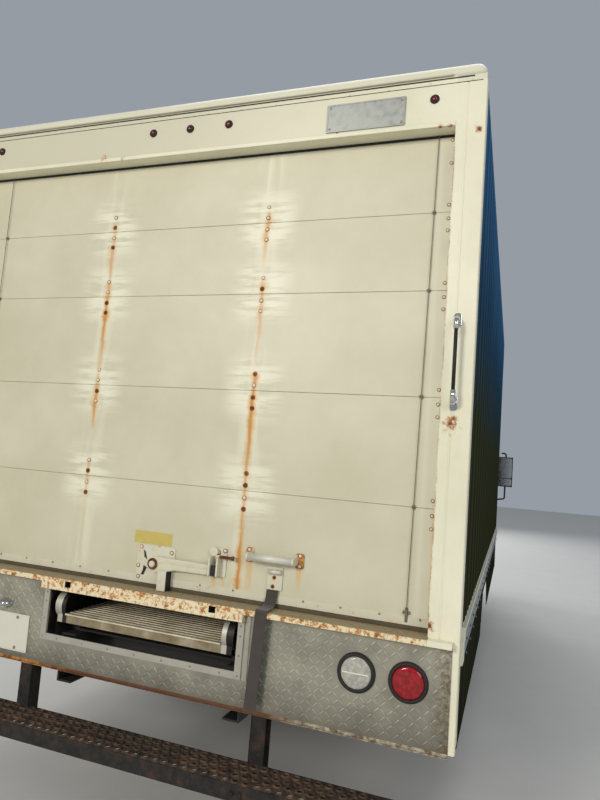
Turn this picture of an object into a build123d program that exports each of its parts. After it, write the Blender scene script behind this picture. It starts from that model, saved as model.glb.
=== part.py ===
# Box truck: cab-forward light truck with a tilting cab, a 16 ft freight box and a slide-out loading ramp
# Millimetres; +X is the truck's right, +Y is forward, +Z is up
# The origin is on the ground, under the middle of the truck's width and length
import os
from math import asin, cos, degrees, radians, sin, sqrt, tan
from build123d import *

os.makedirs("parts", exist_ok=True)

# Main sizes
body_width = 2438.0
body_length = 4877.0
body_height = 2098.0
deck_line_z = 1000.0
wheelbase = 3365.0
rear_overhang = 2208.0
front_overhang = 1105.0
step_reach = 160.0

# Wheels
tyre_radius = 386.0
tyre_width = 215.0
rim_radius = 203.0
front_track = 1664.0
rear_twin_centre = 1650.0
twin_spacing = 244.0
steer_pin_inset = 142.0
steer_pin_radius = 16.0
pin_clearance = 0.3
steer_pin_x = front_track / 2 - steer_pin_inset

# Chassis
frame_width = 850.0
frame_depth = 200.0
frame_flange = 70.0
frame_web = 8.0
frame_top_z = 775.0

# Rear face of the body
opening_half_width = 1115.0
opening_top_z = 2843.0
header_top_z = 3039.0
door_recess = 60.0
door_thickness = 25.0
rear_frame_depth = 110.0
sill_lip_reach = 35.0
sill_bottom_z = 972.0
sill_top_z = 1020.0
apron_bottom_z = 660.0
corner_strip = 20.0
apron_thickness = 4.0
ramp_slot_x = (-446.0, 422.0)
ramp_slot_z = (785.0, 972.0)

# Loading ramp
ramp_side_x = (-432.0, 396.0)
ramp_length = 3300.0
ramp_bottom_z = 795.0
ramp_top_z = 900.0
ramp_rail = 50.0

# Walls of the freight box
wall_thickness = 38.0
floor_thickness = 30.0
roof_thickness = 40.0

# Cab, measured from the front axle
cab_width = 2040.0
cab_wall = 60.0
cab_back = -555.0
cab_front = 1060.0
cab_roof_z = 2230.0
cab_front_bottom_z = 640.0
cab_floor_z = 905.0
cab_arch_radius = 490.0
cab_pivot_ahead = 925.0
cab_pivot_z = 700.0
door_gap = 7.0

# Places that follow from the sizes above
overall_length = rear_overhang + wheelbase + front_overhang + step_reach
rear_y = step_reach - overall_length / 2
rear_axle_y = rear_y + rear_overhang
front_axle_y = rear_axle_y + wheelbase
bumper_front_y = front_axle_y + front_overhang
body_front_y = rear_y + body_length
body_half = body_width / 2
apron_half_width = body_half - corner_strip
body_top_z = deck_line_z + body_height
axle_z = tyre_radius
inner_half = body_half - wall_thickness
deck_top_z = sill_top_z
deck_bottom_z = deck_top_z - floor_thickness
frame_outer = frame_width / 2
frame_bottom_z = frame_top_z - frame_depth
cab_half = cab_width / 2
cab_pivot_y = front_axle_y + cab_pivot_ahead
ramp_rear_y = rear_y + 18.0
both_sides = (-1, 1)


def section_at(y):
    # Cross section seen from the rear; it extrudes towards the rear
    return Plane(origin=(0, y, 0), x_dir=(1, 0, 0), z_dir=(0, -1, 0))


def side_at(x):
    # Side view with forward to the right; it extrudes towards +X
    return Plane(origin=(x, 0, 0), x_dir=(0, 1, 0), z_dir=(1, 0, 0))


def slab(x, y, z, mode=Mode.ADD):
    # A plain plate or bar between two values on each axis
    with Locations(((x[0] + x[1]) / 2, (y[0] + y[1]) / 2, (z[0] + z[1]) / 2)):
        Box(x[1] - x[0], y[1] - y[0], z[1] - z[0], mode=mode)


def mirrored(pair, side):
    # The same stretch of X on the left (-1) or the right (1)
    return tuple(sorted(side * value for value in pair))


# Chassis frame: two channel rails, tube crossmembers and the cab's tilt tube
frame_front_y = cab_pivot_y - 39.0
frame_rear_y = rear_y + 70.0
crossmember_ys = (rear_y + 300.0, rear_axle_y - 620.0, rear_axle_y + 620.0,
                  250.0, 1180.0, cab_pivot_y - 190.0)
crossmember_size = (60.0, 80.0)
crossmember_z = frame_top_z - 52.0
engine_half = 280.0
engine_mount_y = front_axle_y + 160.0
tilt_tube_radius = 22.0
tilt_tube_half = frame_outer + 135.0
bumper_stay_top_z = 540.0
bumper_skin = 24.0

with BuildPart() as chassis_frame:
    for side in both_sides:
        with BuildSketch(section_at(frame_front_y)):
            with Locations((side * (frame_outer - frame_flange / 2), frame_top_z - frame_depth / 2)):
                Rectangle(frame_flange, frame_depth)
            with Locations((side * (frame_outer - (frame_flange + frame_web) / 2),
                            frame_top_z - frame_depth / 2)):
                Rectangle(frame_flange - frame_web, frame_depth - 2 * frame_web, mode=Mode.SUBTRACT)
        extrude(amount=frame_front_y - frame_rear_y)
        with BuildSketch(side_at(side * (frame_outer - frame_web / 2) - 6.0)):
            with BuildLine():
                Polyline(
                    (frame_front_y - 160, frame_bottom_z),
                    (frame_front_y - 160, frame_bottom_z - 60),
                    (frame_front_y - 40, 430),
                    (bumper_front_y - bumper_skin, 430),
                    (bumper_front_y - bumper_skin, bumper_stay_top_z),
                    (frame_front_y + 20, bumper_stay_top_z),
                    (frame_front_y, frame_bottom_z),
                    close=True,
                )
            make_face()
        extrude(amount=12.0)
        with BuildSketch(side_at(side * (frame_outer - frame_web / 2) - 6.0)):
            with BuildLine():
                Polyline(
                    (frame_front_y - 120, frame_top_z - 10),
                    (frame_front_y - 120, frame_bottom_z + 60),
                    (cab_pivot_y, cab_pivot_z - 34),
                    (cab_pivot_y, cab_pivot_z + 34),
                    close=True,
                )
            make_face()
            with Locations((cab_pivot_y, cab_pivot_z)):
                Circle(34.0)
        extrude(amount=12.0)
    for y in crossmember_ys:
        half = frame_outer - frame_web
        slab((-half, half), (y - crossmember_size[0] / 2, y + crossmember_size[0] / 2),
             (crossmember_z - crossmember_size[1] / 2, crossmember_z + crossmember_size[1] / 2))
    for side in both_sides:
        slab(mirrored((engine_half, frame_outer - frame_web), side),
             (engine_mount_y - 50, engine_mount_y + 50),
             (640, 700))
    with BuildSketch(side_at(-tilt_tube_half)):
        with Locations((cab_pivot_y, cab_pivot_z)):
            Circle(tilt_tube_radius)
    extrude(amount=2 * tilt_tube_half)
chassis_frame.part.label = "chassis_frame"
export_step(chassis_frame.part, "parts/chassis_frame.step")

# Leaf springs: four curved leaves, each shorter than the one above, with a hanger at each end
spring_x = frame_outer - 36.0
spring_width = 60.0
leaf_thickness = 11.0
hanger_width = 70.0
rear_tube_radius = 62.0
front_beam_height = 70.0
front_beam_z = 350.0
spring_table = (
    # axle y, seat z, half length
    (rear_axle_y, axle_z + rear_tube_radius, 600.0),
    (front_axle_y, front_beam_z + front_beam_height / 2, 500.0),
)
leaf_shares = (0.45, 0.63, 0.81, 1.0)
with BuildPart() as leaf_springs:
    for axle_y, seat_z, reach in spring_table:
        eye_z = frame_bottom_z - 50
        rise = eye_z - seat_z - len(leaf_shares) * leaf_thickness
        for side in both_sides:
            with BuildSketch(side_at(side * spring_x - spring_width / 2)):
                for level, share in enumerate(leaf_shares):
                    low = seat_z + level * leaf_thickness
                    tip = reach * share
                    lift = rise * share ** 2
                    with BuildLine():
                        under = ThreePointArc((axle_y - tip, low + lift), (axle_y, low),
                                              (axle_y + tip, low + lift))
                        over = ThreePointArc((axle_y + tip, low + lift + leaf_thickness),
                                             (axle_y, low + leaf_thickness),
                                             (axle_y - tip, low + lift + leaf_thickness))
                        Line(under @ 1, over @ 0)
                        Line(over @ 1, under @ 0)
                    make_face()
                for end in (axle_y - reach, axle_y + reach):
                    with BuildLine():
                        Polyline((end - 20, eye_z - 30), (end + 20, eye_z - 30),
                                 (end + hanger_width / 2, frame_bottom_z),
                                 (end - hanger_width / 2, frame_bottom_z),
                                 close=True)
                    make_face()
                with Locations((axle_y, seat_z + len(leaf_shares) * leaf_thickness / 2)):
                    Rectangle(110, len(leaf_shares) * leaf_thickness)
            extrude(amount=spring_width)
leaf_springs.part.label = "leaf_springs"
export_step(leaf_springs.part, "parts/leaf_springs.step")

# Rear axle: tube, round differential housing and the stub that carries each pair of wheels
rear_hub_x = rear_twin_centre / 2
diff_radius = 185.0
rear_stub_radius = 45.0
rear_stub_reach = 130.0
pinion_reach = 250.0
pinion_rise = 44.0
with BuildPart() as rear_axle:
    with BuildSketch(section_at(rear_axle_y + pinion_reach)):
        with Locations((0, axle_z + pinion_rise)):
            Circle(58.0)
    extrude(amount=pinion_reach)
    with BuildSketch(side_at(-rear_hub_x + 40)):
        with Locations((rear_axle_y, axle_z)):
            Circle(rear_tube_radius)
    extrude(amount=2 * rear_hub_x - 80)
    with BuildSketch(Plane(origin=(0, rear_axle_y, axle_z), x_dir=(1, 0, 0), z_dir=(0, 0, 1))):
        with BuildLine():
            Polyline((-190, 0), (-60, diff_radius), (60, diff_radius), (190, 0), close=True)
        make_face()
    revolve(axis=Axis((0, rear_axle_y, axle_z), (1, 0, 0)), revolution_arc=360)
    for side in both_sides:
        with BuildSketch(side_at(min(side * (rear_hub_x - 41), side * (rear_hub_x + rear_stub_reach)))):
            with Locations((rear_axle_y, axle_z)):
                Circle(rear_stub_radius)
        extrude(amount=rear_stub_reach + 41)
rear_axle.part.label = "rear_axle"
export_step(rear_axle.part, "parts/rear_axle.step")

# Front axle: a dropped beam that ends in a vertical eye at each steering pin
eye_height = 110.0
eye_radius = 38.0
beam_flat = spring_x + spring_width / 2 + 20.0
with BuildPart() as front_axle:
    with BuildSketch(section_at(front_axle_y + 40)):
        with BuildLine():
            Polyline(
                (-steer_pin_x, axle_z + 30),
                (-steer_pin_x, axle_z - 30),
                (-steer_pin_x + 90, axle_z - 40),
                (-beam_flat, front_beam_z - front_beam_height / 2),
                (beam_flat, front_beam_z - front_beam_height / 2),
                (steer_pin_x - 90, axle_z - 40),
                (steer_pin_x, axle_z - 30),
                (steer_pin_x, axle_z + 30),
                (steer_pin_x - 70, axle_z + 30),
                (beam_flat, front_beam_z + front_beam_height / 2),
                (-beam_flat, front_beam_z + front_beam_height / 2),
                (-steer_pin_x + 70, axle_z + 30),
                close=True,
            )
        make_face()
    extrude(amount=80.0)
    for side in both_sides:
        with BuildSketch(Plane.XY.offset(axle_z - eye_height / 2)):
            with Locations((side * steer_pin_x, front_axle_y)):
                Circle(eye_radius + 14)
        extrude(amount=eye_height, mode=Mode.SUBTRACT)
        with BuildSketch(Plane.XY.offset(axle_z - eye_height / 2)):
            with Locations((side * steer_pin_x, front_axle_y)):
                Circle(eye_radius)
            with Locations((side * (steer_pin_x - 60), front_axle_y)):
                Rectangle(90, 44)
        extrude(amount=eye_height)
        with BuildSketch(Plane.XY.offset(axle_z - eye_height / 2)):
            with Locations((side * steer_pin_x, front_axle_y)):
                Circle(steer_pin_radius + pin_clearance)
        extrude(amount=eye_height, mode=Mode.SUBTRACT)
front_axle.part.label = "front_axle"
export_step(front_axle.part, "parts/front_axle.step")

# Knuckles: a fork round the axle's eye, its pin, the wheel spindle and the steering arm
fork_gap = 6.0
fork_plate = 26.0
wheel_x = front_track / 2
fork_root = 72.0
arm_reach = 170.0
arm_half = 20.0
ball_eye_radius = 24.0
ball_stud_radius = 10.0
spindle_radius = 38.0
spindle_reach = 240.0


def make_knuckle(side):
    pin_x = side * steer_pin_x
    fork_z = eye_height / 2 + fork_gap
    with BuildPart() as knuckle:
        for low, high in ((-fork_z - fork_plate, -fork_z), (fork_z, fork_z + fork_plate)):
            with BuildSketch(Plane.XY.offset(axle_z + low)):
                with Locations((pin_x, front_axle_y)):
                    Circle(44.0)
                with Locations((pin_x + side * fork_root / 2, front_axle_y)):
                    Rectangle(fork_root, 88)
            extrude(amount=high - low)
        with BuildSketch(Plane.XY.offset(axle_z - fork_z - fork_plate)):
            with Locations((pin_x + side * (fork_root - 10), front_axle_y)):
                Rectangle(20, 88)
        extrude(amount=2 * (fork_z + fork_plate))
        with BuildSketch(Plane.XY.offset(axle_z - fork_z - fork_plate)):
            with Locations((pin_x, front_axle_y)):
                Circle(steer_pin_radius)
        extrude(amount=2 * (fork_z + fork_plate))
        with BuildSketch(side_at(min(pin_x + side * (fork_root - 10), pin_x + side * spindle_reach))):
            with Locations((front_axle_y, axle_z)):
                Circle(spindle_radius)
        extrude(amount=spindle_reach - fork_root + 10)
        with BuildSketch(Plane.XY.offset(axle_z - fork_z - fork_plate)):
            with BuildLine():
                Polyline(
                    (pin_x + 2 * arm_half, front_axle_y - 30),
                    (pin_x - 2 * arm_half, front_axle_y - 30),
                    (pin_x - arm_half, front_axle_y - arm_reach),
                    (pin_x + arm_half, front_axle_y - arm_reach),
                    close=True,
                )
            make_face()
            with Locations((pin_x, front_axle_y - arm_reach)):
                Circle(ball_eye_radius)
        extrude(amount=fork_plate)
        with BuildSketch(Plane.XY.offset(axle_z - fork_z - fork_plate)):
            with Locations((pin_x, front_axle_y - arm_reach)):
                Circle(ball_stud_radius)
        extrude(amount=-40.0)
    return knuckle


left_knuckle = make_knuckle(-1)
left_knuckle.part.label = "left_knuckle"
export_step(left_knuckle.part, "parts/left_knuckle.step")
right_knuckle = make_knuckle(1)
right_knuckle.part.label = "right_knuckle"
export_step(right_knuckle.part, "parts/right_knuckle.step")

# Tie rod between the two steering arms, with an eye round each ball stud
tie_x = steer_pin_x
tie_y = front_axle_y - arm_reach
tie_z = axle_z - eye_height / 2 - fork_gap - fork_plate - 22.0
with BuildPart() as tie_rod:
    with BuildSketch(side_at(-tie_x + 15)):
        with Locations((tie_y, tie_z)):
            Circle(14.0)
    extrude(amount=2 * tie_x - 30)
    for side in both_sides:
        with BuildSketch(Plane.XY.offset(tie_z - 15)):
            with Locations((side * tie_x, tie_y)):
                Circle(ball_eye_radius)
        extrude(amount=30.0)
        with BuildSketch(Plane.XY.offset(tie_z - 15)):
            with Locations((side * tie_x, tie_y)):
                Circle(ball_stud_radius + pin_clearance)
        extrude(amount=30.0, mode=Mode.SUBTRACT)
tie_rod.part.label = "tie_rod"
export_step(tie_rod.part, "parts/tie_rod.step")

# Wheels: a tyre revolved about the axle, and a pressed steel rim with its disc, drum and hub
wheel_table = (
    # name, centre X, axle Y, outward side, twin
    ("left_front", -wheel_x, front_axle_y, -1, False),
    ("right_front", wheel_x, front_axle_y, 1, False),
    ("left_rear", -rear_hub_x, rear_axle_y, -1, True),
    ("right_rear", rear_hub_x, rear_axle_y, 1, True),
)
tyre_half = tyre_width / 2
tread_half = tyre_half - 22.0
sidewall_height = tyre_radius - rim_radius
rim_half = 84.0
rim_lip = 6.0
rim_wall = 12.0
bead_height = 16.0
front_disc_offset = 112.0
disc_thickness = 10.0
disc_bend_radius = 120.0
hub_wall = 24.0
hub_cap_reach = 26.0
hand_hole_radius = 20.0
hand_hole_circle = 151.0
hand_hole_count = 8
disc_cone = 62.0
drum_radius = 145.0
drum_cone = 30.0
drum_wall = 12.0
drum_length = 95.0
bead_x = rim_half - rim_lip - pin_clearance
for wheel_name, centre_x, axle_y, side, twin in wheel_table:
    if twin:
        places = ((centre_x - side * twin_spacing / 2, side), (centre_x + side * twin_spacing / 2, -side))
        disc_offset = twin_spacing / 2 - disc_thickness
        shaft_radius = rear_stub_radius
        hub_start = centre_x - side * 24
        hub_end = centre_x + side * (rear_stub_reach + 5)
    else:
        places = ((centre_x, side),)
        disc_offset = front_disc_offset
        shaft_radius = spindle_radius
        hub_start = side * (steer_pin_x + fork_root + 6)
        hub_end = side * (steer_pin_x + spindle_reach + 5)
    axle = Axis((0, axle_y, axle_z), (1, 0, 0))
    profile_plane = Plane(origin=(0, axle_y, axle_z), x_dir=(1, 0, 0), z_dir=(0, -1, 0))
    with BuildPart() as tyre:
        for x, face in places:
            half_profile = (
                (bead_x, rim_radius + pin_clearance),
                (bead_x, rim_radius + bead_height),
                (rim_half, rim_radius + bead_height),
                (tyre_half, tyre_radius - sidewall_height / 2),
                (tread_half, tyre_radius),
            )
            left_profile = [(x - reach, radius) for reach, radius in reversed(half_profile)]
            with BuildSketch(profile_plane):
                with BuildLine():
                    Polyline(*[(x + reach, radius) for reach, radius in half_profile], *left_profile,
                             close=True)
                make_face()
            revolve(axis=axle)
    tyre.part.label = wheel_name + "_tyre"
    export_step(tyre.part, "parts/" + wheel_name + "_tyre.step")
    with BuildPart() as rim:
        for x, face in places:
            inner = x - face * rim_half
            outer = x + face * rim_half
            disc = x + face * disc_offset
            bore = shaft_radius + pin_clearance
            with BuildSketch(profile_plane):
                with BuildLine():
                    Polyline(
                        (inner, rim_radius + bead_height - 2),
                        (inner, rim_radius - rim_wall),
                        (x, rim_radius - 2 * rim_wall),
                        (x + face * 60, rim_radius - 2 * rim_wall),
                        (disc, disc_bend_radius),
                        (disc, bore),
                        (disc + face * disc_thickness, bore),
                        (disc + face * disc_thickness, disc_bend_radius),
                        (x + face * 74, rim_radius - rim_wall - 2),
                        (outer, rim_radius - rim_wall),
                        (outer, rim_radius + bead_height - 2),
                        (outer - face * rim_lip, rim_radius + bead_height - 2),
                        (outer - face * rim_lip, rim_radius),
                        (inner + face * rim_lip, rim_radius),
                        (inner + face * rim_lip, rim_radius + bead_height - 2),
                        close=True,
                    )
                make_face()
            revolve(axis=axle)
        low_x = min(x + face * (disc_offset - disc_cone) for x, face in places)
        high_x = max(x + face * (disc_offset + disc_cone) for x, face in places)
        with BuildSketch(Plane(origin=(low_x, axle_y, axle_z), x_dir=(0, 1, 0), z_dir=(1, 0, 0))):
            with PolarLocations(hand_hole_circle, hand_hole_count):
                Circle(hand_hole_radius)
        extrude(amount=high_x - low_x, mode=Mode.SUBTRACT)
        with BuildSketch(profile_plane):
            with BuildLine():
                Polyline(
                    (hub_start, shaft_radius + pin_clearance),
                    (hub_start, shaft_radius + hub_wall),
                    (hub_end, shaft_radius + hub_wall),
                    (hub_end + side * hub_cap_reach, shaft_radius),
                    (hub_end + side * hub_cap_reach, 0),
                    (hub_end, 0),
                    (hub_end, shaft_radius + pin_clearance),
                    close=True,
                )
            make_face()
        revolve(axis=axle)
        drum_face = places[0][0] + places[0][1] * disc_offset
        drum_side = -side
        with BuildSketch(profile_plane):
            with BuildLine():
                Polyline(
                    (drum_face, shaft_radius + hub_wall - 2),
                    (drum_face, drum_radius - 40),
                    (drum_face + drum_side * drum_cone, drum_radius),
                    (drum_face + drum_side * drum_length, drum_radius),
                    (drum_face + drum_side * drum_length, drum_radius - drum_wall),
                    (drum_face + drum_side * (drum_cone + drum_wall / 2), drum_radius - drum_wall),
                    (drum_face + drum_side * 12, shaft_radius + hub_wall - 2),
                    close=True,
                )
            make_face()
        revolve(axis=axle)
    rim.part.label = wheel_name + "_rim"
    export_step(rim.part, "parts/" + wheel_name + "_rim.step")

# Subframe: two long sills on the chassis, straps across it and the floor's crossmembers
sill_inner_x = frame_outer + 35.0
sill_outer_x = sill_inner_x + 60.0
sill_plate = 8.0
crossmember_bottom_z = 915.0
crossmember_pitch = 406.0
first_crossmember = 260.0
crossmember_half = body_half - 44.0
body_start_y = rear_y + rear_frame_depth
strap_width = 80.0
strap_count = 7
sill_length = body_front_y - 20 - body_start_y
with BuildPart() as subframe:
    for side in both_sides:
        with BuildSketch(section_at(body_front_y - 20)):
            with Locations((side * (sill_inner_x + sill_outer_x) / 2,
                            (frame_top_z + crossmember_bottom_z) / 2)):
                Rectangle(sill_outer_x - sill_inner_x, crossmember_bottom_z - frame_top_z)
            with Locations((side * (sill_inner_x + sill_outer_x + sill_plate) / 2,
                            (frame_top_z + crossmember_bottom_z) / 2)):
                Rectangle(sill_outer_x - sill_inner_x - sill_plate,
                          crossmember_bottom_z - frame_top_z - 2 * sill_plate, mode=Mode.SUBTRACT)
        extrude(amount=sill_length)
    for index in range(strap_count):
        y = body_start_y + 60 + index * (sill_length - 120) / (strap_count - 1)
        slab((-sill_outer_x, sill_outer_x), (y - strap_width / 2, y + strap_width / 2),
             (frame_top_z, frame_top_z + sill_plate))
        for x in (ramp_side_x[0], ramp_side_x[1] - ramp_rail):
            slab((x, x + ramp_rail), (y - strap_width / 2, y + strap_width / 2),
                 (frame_top_z + sill_plate, ramp_bottom_z - pin_clearance))
    y = body_start_y + first_crossmember
    while y < body_front_y - wall_thickness - 30:
        slab((-crossmember_half, crossmember_half), (y - 3, y + 3), (crossmember_bottom_z, deck_bottom_z))
        slab((-crossmember_half, crossmember_half), (y - 3, y + 37), (deck_bottom_z - 6, deck_bottom_z))
        slab((-crossmember_half, crossmember_half), (y - 3, y + 37),
             (crossmember_bottom_z, crossmember_bottom_z + 6))
        y += crossmember_pitch
subframe.part.label = "subframe"
export_step(subframe.part, "parts/subframe.step")

# Deck boards, side walls, front wall and roof of the freight box
with BuildPart() as cargo_floor:
    slab((-inner_half, inner_half), (body_start_y, body_front_y - wall_thickness),
         (deck_bottom_z, deck_top_z))
cargo_floor.part.label = "cargo_floor"
export_step(cargo_floor.part, "parts/cargo_floor.step")

with BuildPart() as side_walls:
    for side in both_sides:
        slab(mirrored((inner_half, body_half), side), (body_start_y, body_front_y - wall_thickness),
             (deck_bottom_z, header_top_z))
side_walls.part.label = "side_walls"
export_step(side_walls.part, "parts/side_walls.step")

with BuildPart() as front_wall:
    slab((-body_half, body_half), (body_front_y - wall_thickness, body_front_y),
         (deck_bottom_z, header_top_z))
    fillet(front_wall.edges().filter_by(Axis.Z).group_by(Axis.Y)[-1], radius=30)
front_wall.part.label = "front_wall"
export_step(front_wall.part, "parts/front_wall.step")

rail_width = 70.0
rail_radius = 46.0
roof_rise = 8.0
corner_bottom_z = 3013.0
lower_rail = (
    (body_half - 44, crossmember_bottom_z),
    (body_half + 3, crossmember_bottom_z),
    (body_half + 3, deck_bottom_z + 6),
    (body_half + 12, deck_bottom_z + 10),
    (body_half + 12, deck_bottom_z + 55),
    (body_half, deck_bottom_z + 55),
    (body_half, deck_bottom_z),
    (body_half - 44, deck_bottom_z),
)
with BuildPart() as cargo_roof:
    with BuildSketch(section_at(body_front_y - rail_width)):
        roof_edge = body_half - rail_width
        with BuildLine():
            under = Polyline(
                (-roof_edge, body_top_z - 16), (-roof_edge, body_top_z - 16 - roof_thickness),
                (roof_edge, body_top_z - 16 - roof_thickness), (roof_edge, body_top_z - 16),
            )
            ThreePointArc(under @ 1, (0, body_top_z - 16 + roof_rise), under @ 0)
        make_face()
    extrude(amount=body_length - 2 * rail_width)
cargo_roof.part.label = "cargo_roof"
export_step(cargo_roof.part, "parts/cargo_roof.step")

# Rounded rails round the roof, with a cap on each rear corner, and the rub rails at floor height
with BuildPart() as body_rails:
    slab((-body_half, body_half), (rear_y, body_front_y), (header_top_z, body_top_z))
    fillet(body_rails.edges().filter_by(Axis.Z), radius=30)
    fillet(body_rails.faces().sort_by(Axis.Z)[-1].edges(), radius=rail_radius)
    slab((-body_half + rail_width, body_half - rail_width), (rear_y + rail_width, body_front_y - rail_width),
         (header_top_z - 1, body_top_z + 1), mode=Mode.SUBTRACT)
    for side in both_sides:
        slab(mirrored((opening_half_width, body_half), side), (rear_y, body_start_y),
             (corner_bottom_z, header_top_z))
        with BuildSketch(section_at(body_front_y)):
            with BuildLine():
                Polyline(*[(side * x, z) for x, z in lower_rail], close=True)
            make_face()
        extrude(amount=body_front_y - body_start_y)
body_rails.part.label = "body_rails"
export_step(body_rails.part, "parts/body_rails.step")

# Side skirts under the rub rails, cut out over the rear wheels
skirt_bottom_z = 640.0
skirt_plate = 5.0
arch_half = 470.0
arch_top_z = 860.0
arch_corner = 200.0
with BuildPart() as side_skirts:
    for side in both_sides:
        with BuildSketch(side_at(min(side * body_half, side * (body_half - skirt_plate)))):
            with BuildLine():
                Polyline(
                    (body_start_y, crossmember_bottom_z),
                    (body_start_y, skirt_bottom_z),
                    (rear_axle_y - arch_half, skirt_bottom_z),
                    (rear_axle_y - arch_half, arch_top_z - arch_corner),
                    (rear_axle_y - arch_half + arch_corner, arch_top_z),
                    (rear_axle_y + arch_half - arch_corner, arch_top_z),
                    (rear_axle_y + arch_half, arch_top_z - arch_corner),
                    (rear_axle_y + arch_half, skirt_bottom_z),
                    (body_front_y - 30, skirt_bottom_z),
                    (body_front_y - 30, crossmember_bottom_z),
                    close=True,
                )
            make_face()
        extrude(amount=skirt_plate)
side_skirts.part.label = "side_skirts"
export_step(side_skirts.part, "parts/side_skirts.step")

# Guard bars on the front top corners of the box
guard_size = (60.0, 10.0)
guard_z = (2780.0, 2960.0)
with BuildPart() as limb_guards:
    for side in both_sides:
        slab(mirrored((body_half - guard_size[0], body_half), side),
             (body_front_y, body_front_y + guard_size[1]), guard_z)
limb_guards.part.label = "limb_guards"
export_step(limb_guards.part, "parts/limb_guards.step")

# Rear frame: pillars with a track for the door, header, sill and the rail under the apron
track_step = 25.0
door_face_y = rear_y + door_recess
slot_trim = 26.0
sill_slot_x = (-340.0, 322.0)
sill_slot_size = (28.0, 24.0)
sill_slot_depth = 30.0
pillar_crease = 38.0
crease_half = 5.0
crease_depth = 3.0
pillar_plan = (
    (opening_half_width, rear_y),
    (opening_half_width + pillar_crease - crease_half, rear_y),
    (opening_half_width + pillar_crease, rear_y + crease_depth),
    (opening_half_width + pillar_crease + crease_half, rear_y),
    (body_half, rear_y),
    (body_half, body_start_y),
    (opening_half_width + track_step, body_start_y),
    (opening_half_width + track_step, door_face_y),
    (opening_half_width, door_face_y),
)
with BuildPart() as rear_frame:
    for side in both_sides:
        with BuildSketch(Plane.XY.offset(apron_bottom_z)):
            with BuildLine():
                Polyline(*[(side * x, y) for x, y in pillar_plan], close=True)
            make_face()
        extrude(amount=corner_bottom_z - apron_bottom_z)
    slab((-opening_half_width, opening_half_width), (rear_y, door_face_y), (opening_top_z, header_top_z))
    slab((-opening_half_width - track_step, opening_half_width + track_step), (door_face_y, body_start_y),
         (opening_top_z + track_step + 8, corner_bottom_z))
    slab((-opening_half_width, opening_half_width), (door_face_y, body_start_y),
         (corner_bottom_z, header_top_z))
    slab((-opening_half_width - track_step, opening_half_width + track_step), (rear_y, body_start_y),
         (deck_line_z, sill_top_z))
    slab((-body_half + 20, body_half - 20), (rear_y - sill_lip_reach, rear_y), (deck_line_z, sill_top_z))
    slab((ramp_slot_x[0] - slot_trim, ramp_slot_x[1] + slot_trim), (rear_y - sill_lip_reach, body_start_y),
         (sill_bottom_z, deck_line_z))
    slab((-opening_half_width - track_step, opening_half_width + track_step), (rear_y, rear_y + 50),
         (apron_bottom_z, apron_bottom_z + 50))
    for x in (ramp_slot_x[0] - slot_trim, ramp_slot_x[1]):
        slab((x, x + slot_trim), (rear_y, rear_y + 50), (apron_bottom_z + 50, sill_bottom_z))
    for x in sill_slot_x:
        slab((x - sill_slot_size[0] / 2, x + sill_slot_size[0] / 2),
             (rear_y - sill_lip_reach - 1, rear_y - sill_lip_reach + sill_slot_depth),
             (deck_line_z - sill_slot_size[1] / 2, deck_line_z + sill_slot_size[1] / 2), mode=Mode.SUBTRACT)
rear_frame.part.label = "rear_frame"
export_step(rear_frame.part, "parts/rear_frame.step")

# Roll-up door: five panels with a hairline between them
panel_joint_heights = (447.0, 833.0, 1223.0, 1514.0)
panel_gap = 0.8
door_half = opening_half_width + track_step - 4
door_top_z = opening_top_z + track_step
with BuildPart() as rear_door:
    edges_z = [sill_top_z] + [deck_line_z + height for height in panel_joint_heights] + [door_top_z]
    for low, high in zip(edges_z, edges_z[1:]):
        slab((-door_half, door_half), (door_face_y, door_face_y + door_thickness), (low, high - panel_gap))
rear_door.part.label = "rear_door"
export_step(rear_door.part, "parts/rear_door.step")

# Steel cables that run up the door near its edges, with an anchor plate at each foot
cable_radius = 2.5
cable_table = (
    # foot X, top X, foot height, top height
    (1031.0, 1051.0, 95.0, 1842.0),
    (-985.0, -995.0, 95.0, 1842.0),
)
with BuildPart() as door_cables:
    for foot_x, top_x, foot, top in cable_table:
        cable_y = door_face_y - 7
        with BuildLine(mode=Mode.PRIVATE) as run:
            Line((foot_x, cable_y, deck_line_z + foot), (top_x, cable_y, deck_line_z + top))
        with BuildSketch(Plane(origin=run.line @ 0, z_dir=run.line % 0)):
            Circle(cable_radius)
        sweep(path=run.line)
        slab((foot_x - 14, foot_x + 14), (door_face_y - 11, door_face_y),
             (deck_line_z + 40, deck_line_z + 95))
door_cables.part.label = "door_cables"
export_step(door_cables.part, "parts/door_cables.step")

# Latch, keeper, strap plate and lift handle on the lowest panel; heights count from the deck line
latch_plate = (5.0, 119.0, 174.0, 142.0)
latch_plate_thickness = 4.0
latch_cuts = (
    ((-56, 168), (-44, 160), (-34, 128), (-50, 138)),
    ((-50, 106), (-32, 98), (-46, 64), (-62, 60), (-52, 84)),
)
lever_outline = ((-18, 112), (-6, 140), (18, 149), (258, 146), (258, 107), (104, 104), (52, 88), (2, 90))
lever_reach = (8.0, 20.0)
plate_table = (
    # low X, high X, low height, high height, reach behind the door face
    (42.0, 80.0, 22.0, 100.0, 40.0),
    (280.0, 322.0, 104.0, 216.0, 5.0),
    (258.0, 265.0, 108.0, 178.0, 34.0),
    (292.0, 299.0, 108.0, 178.0, 34.0),
    (404.0, 432.0, 178.0, 230.0, 4.0),
    (608.0, 636.0, 178.0, 230.0, 4.0),
    (424.0, 432.0, 190.0, 218.0, 46.0),
    (608.0, 616.0, 190.0, 218.0, 46.0),
    (500.0, 560.0, 86.0, 170.0, 6.0),
)
boss_table = (
    # X, height, radius, reach behind the door face
    (4.0, 119.0, 24.0, 24.0),
    (4.0, 119.0, 13.0, 30.0),
    (272.0, 200.0, 17.0, 20.0),
)
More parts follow.
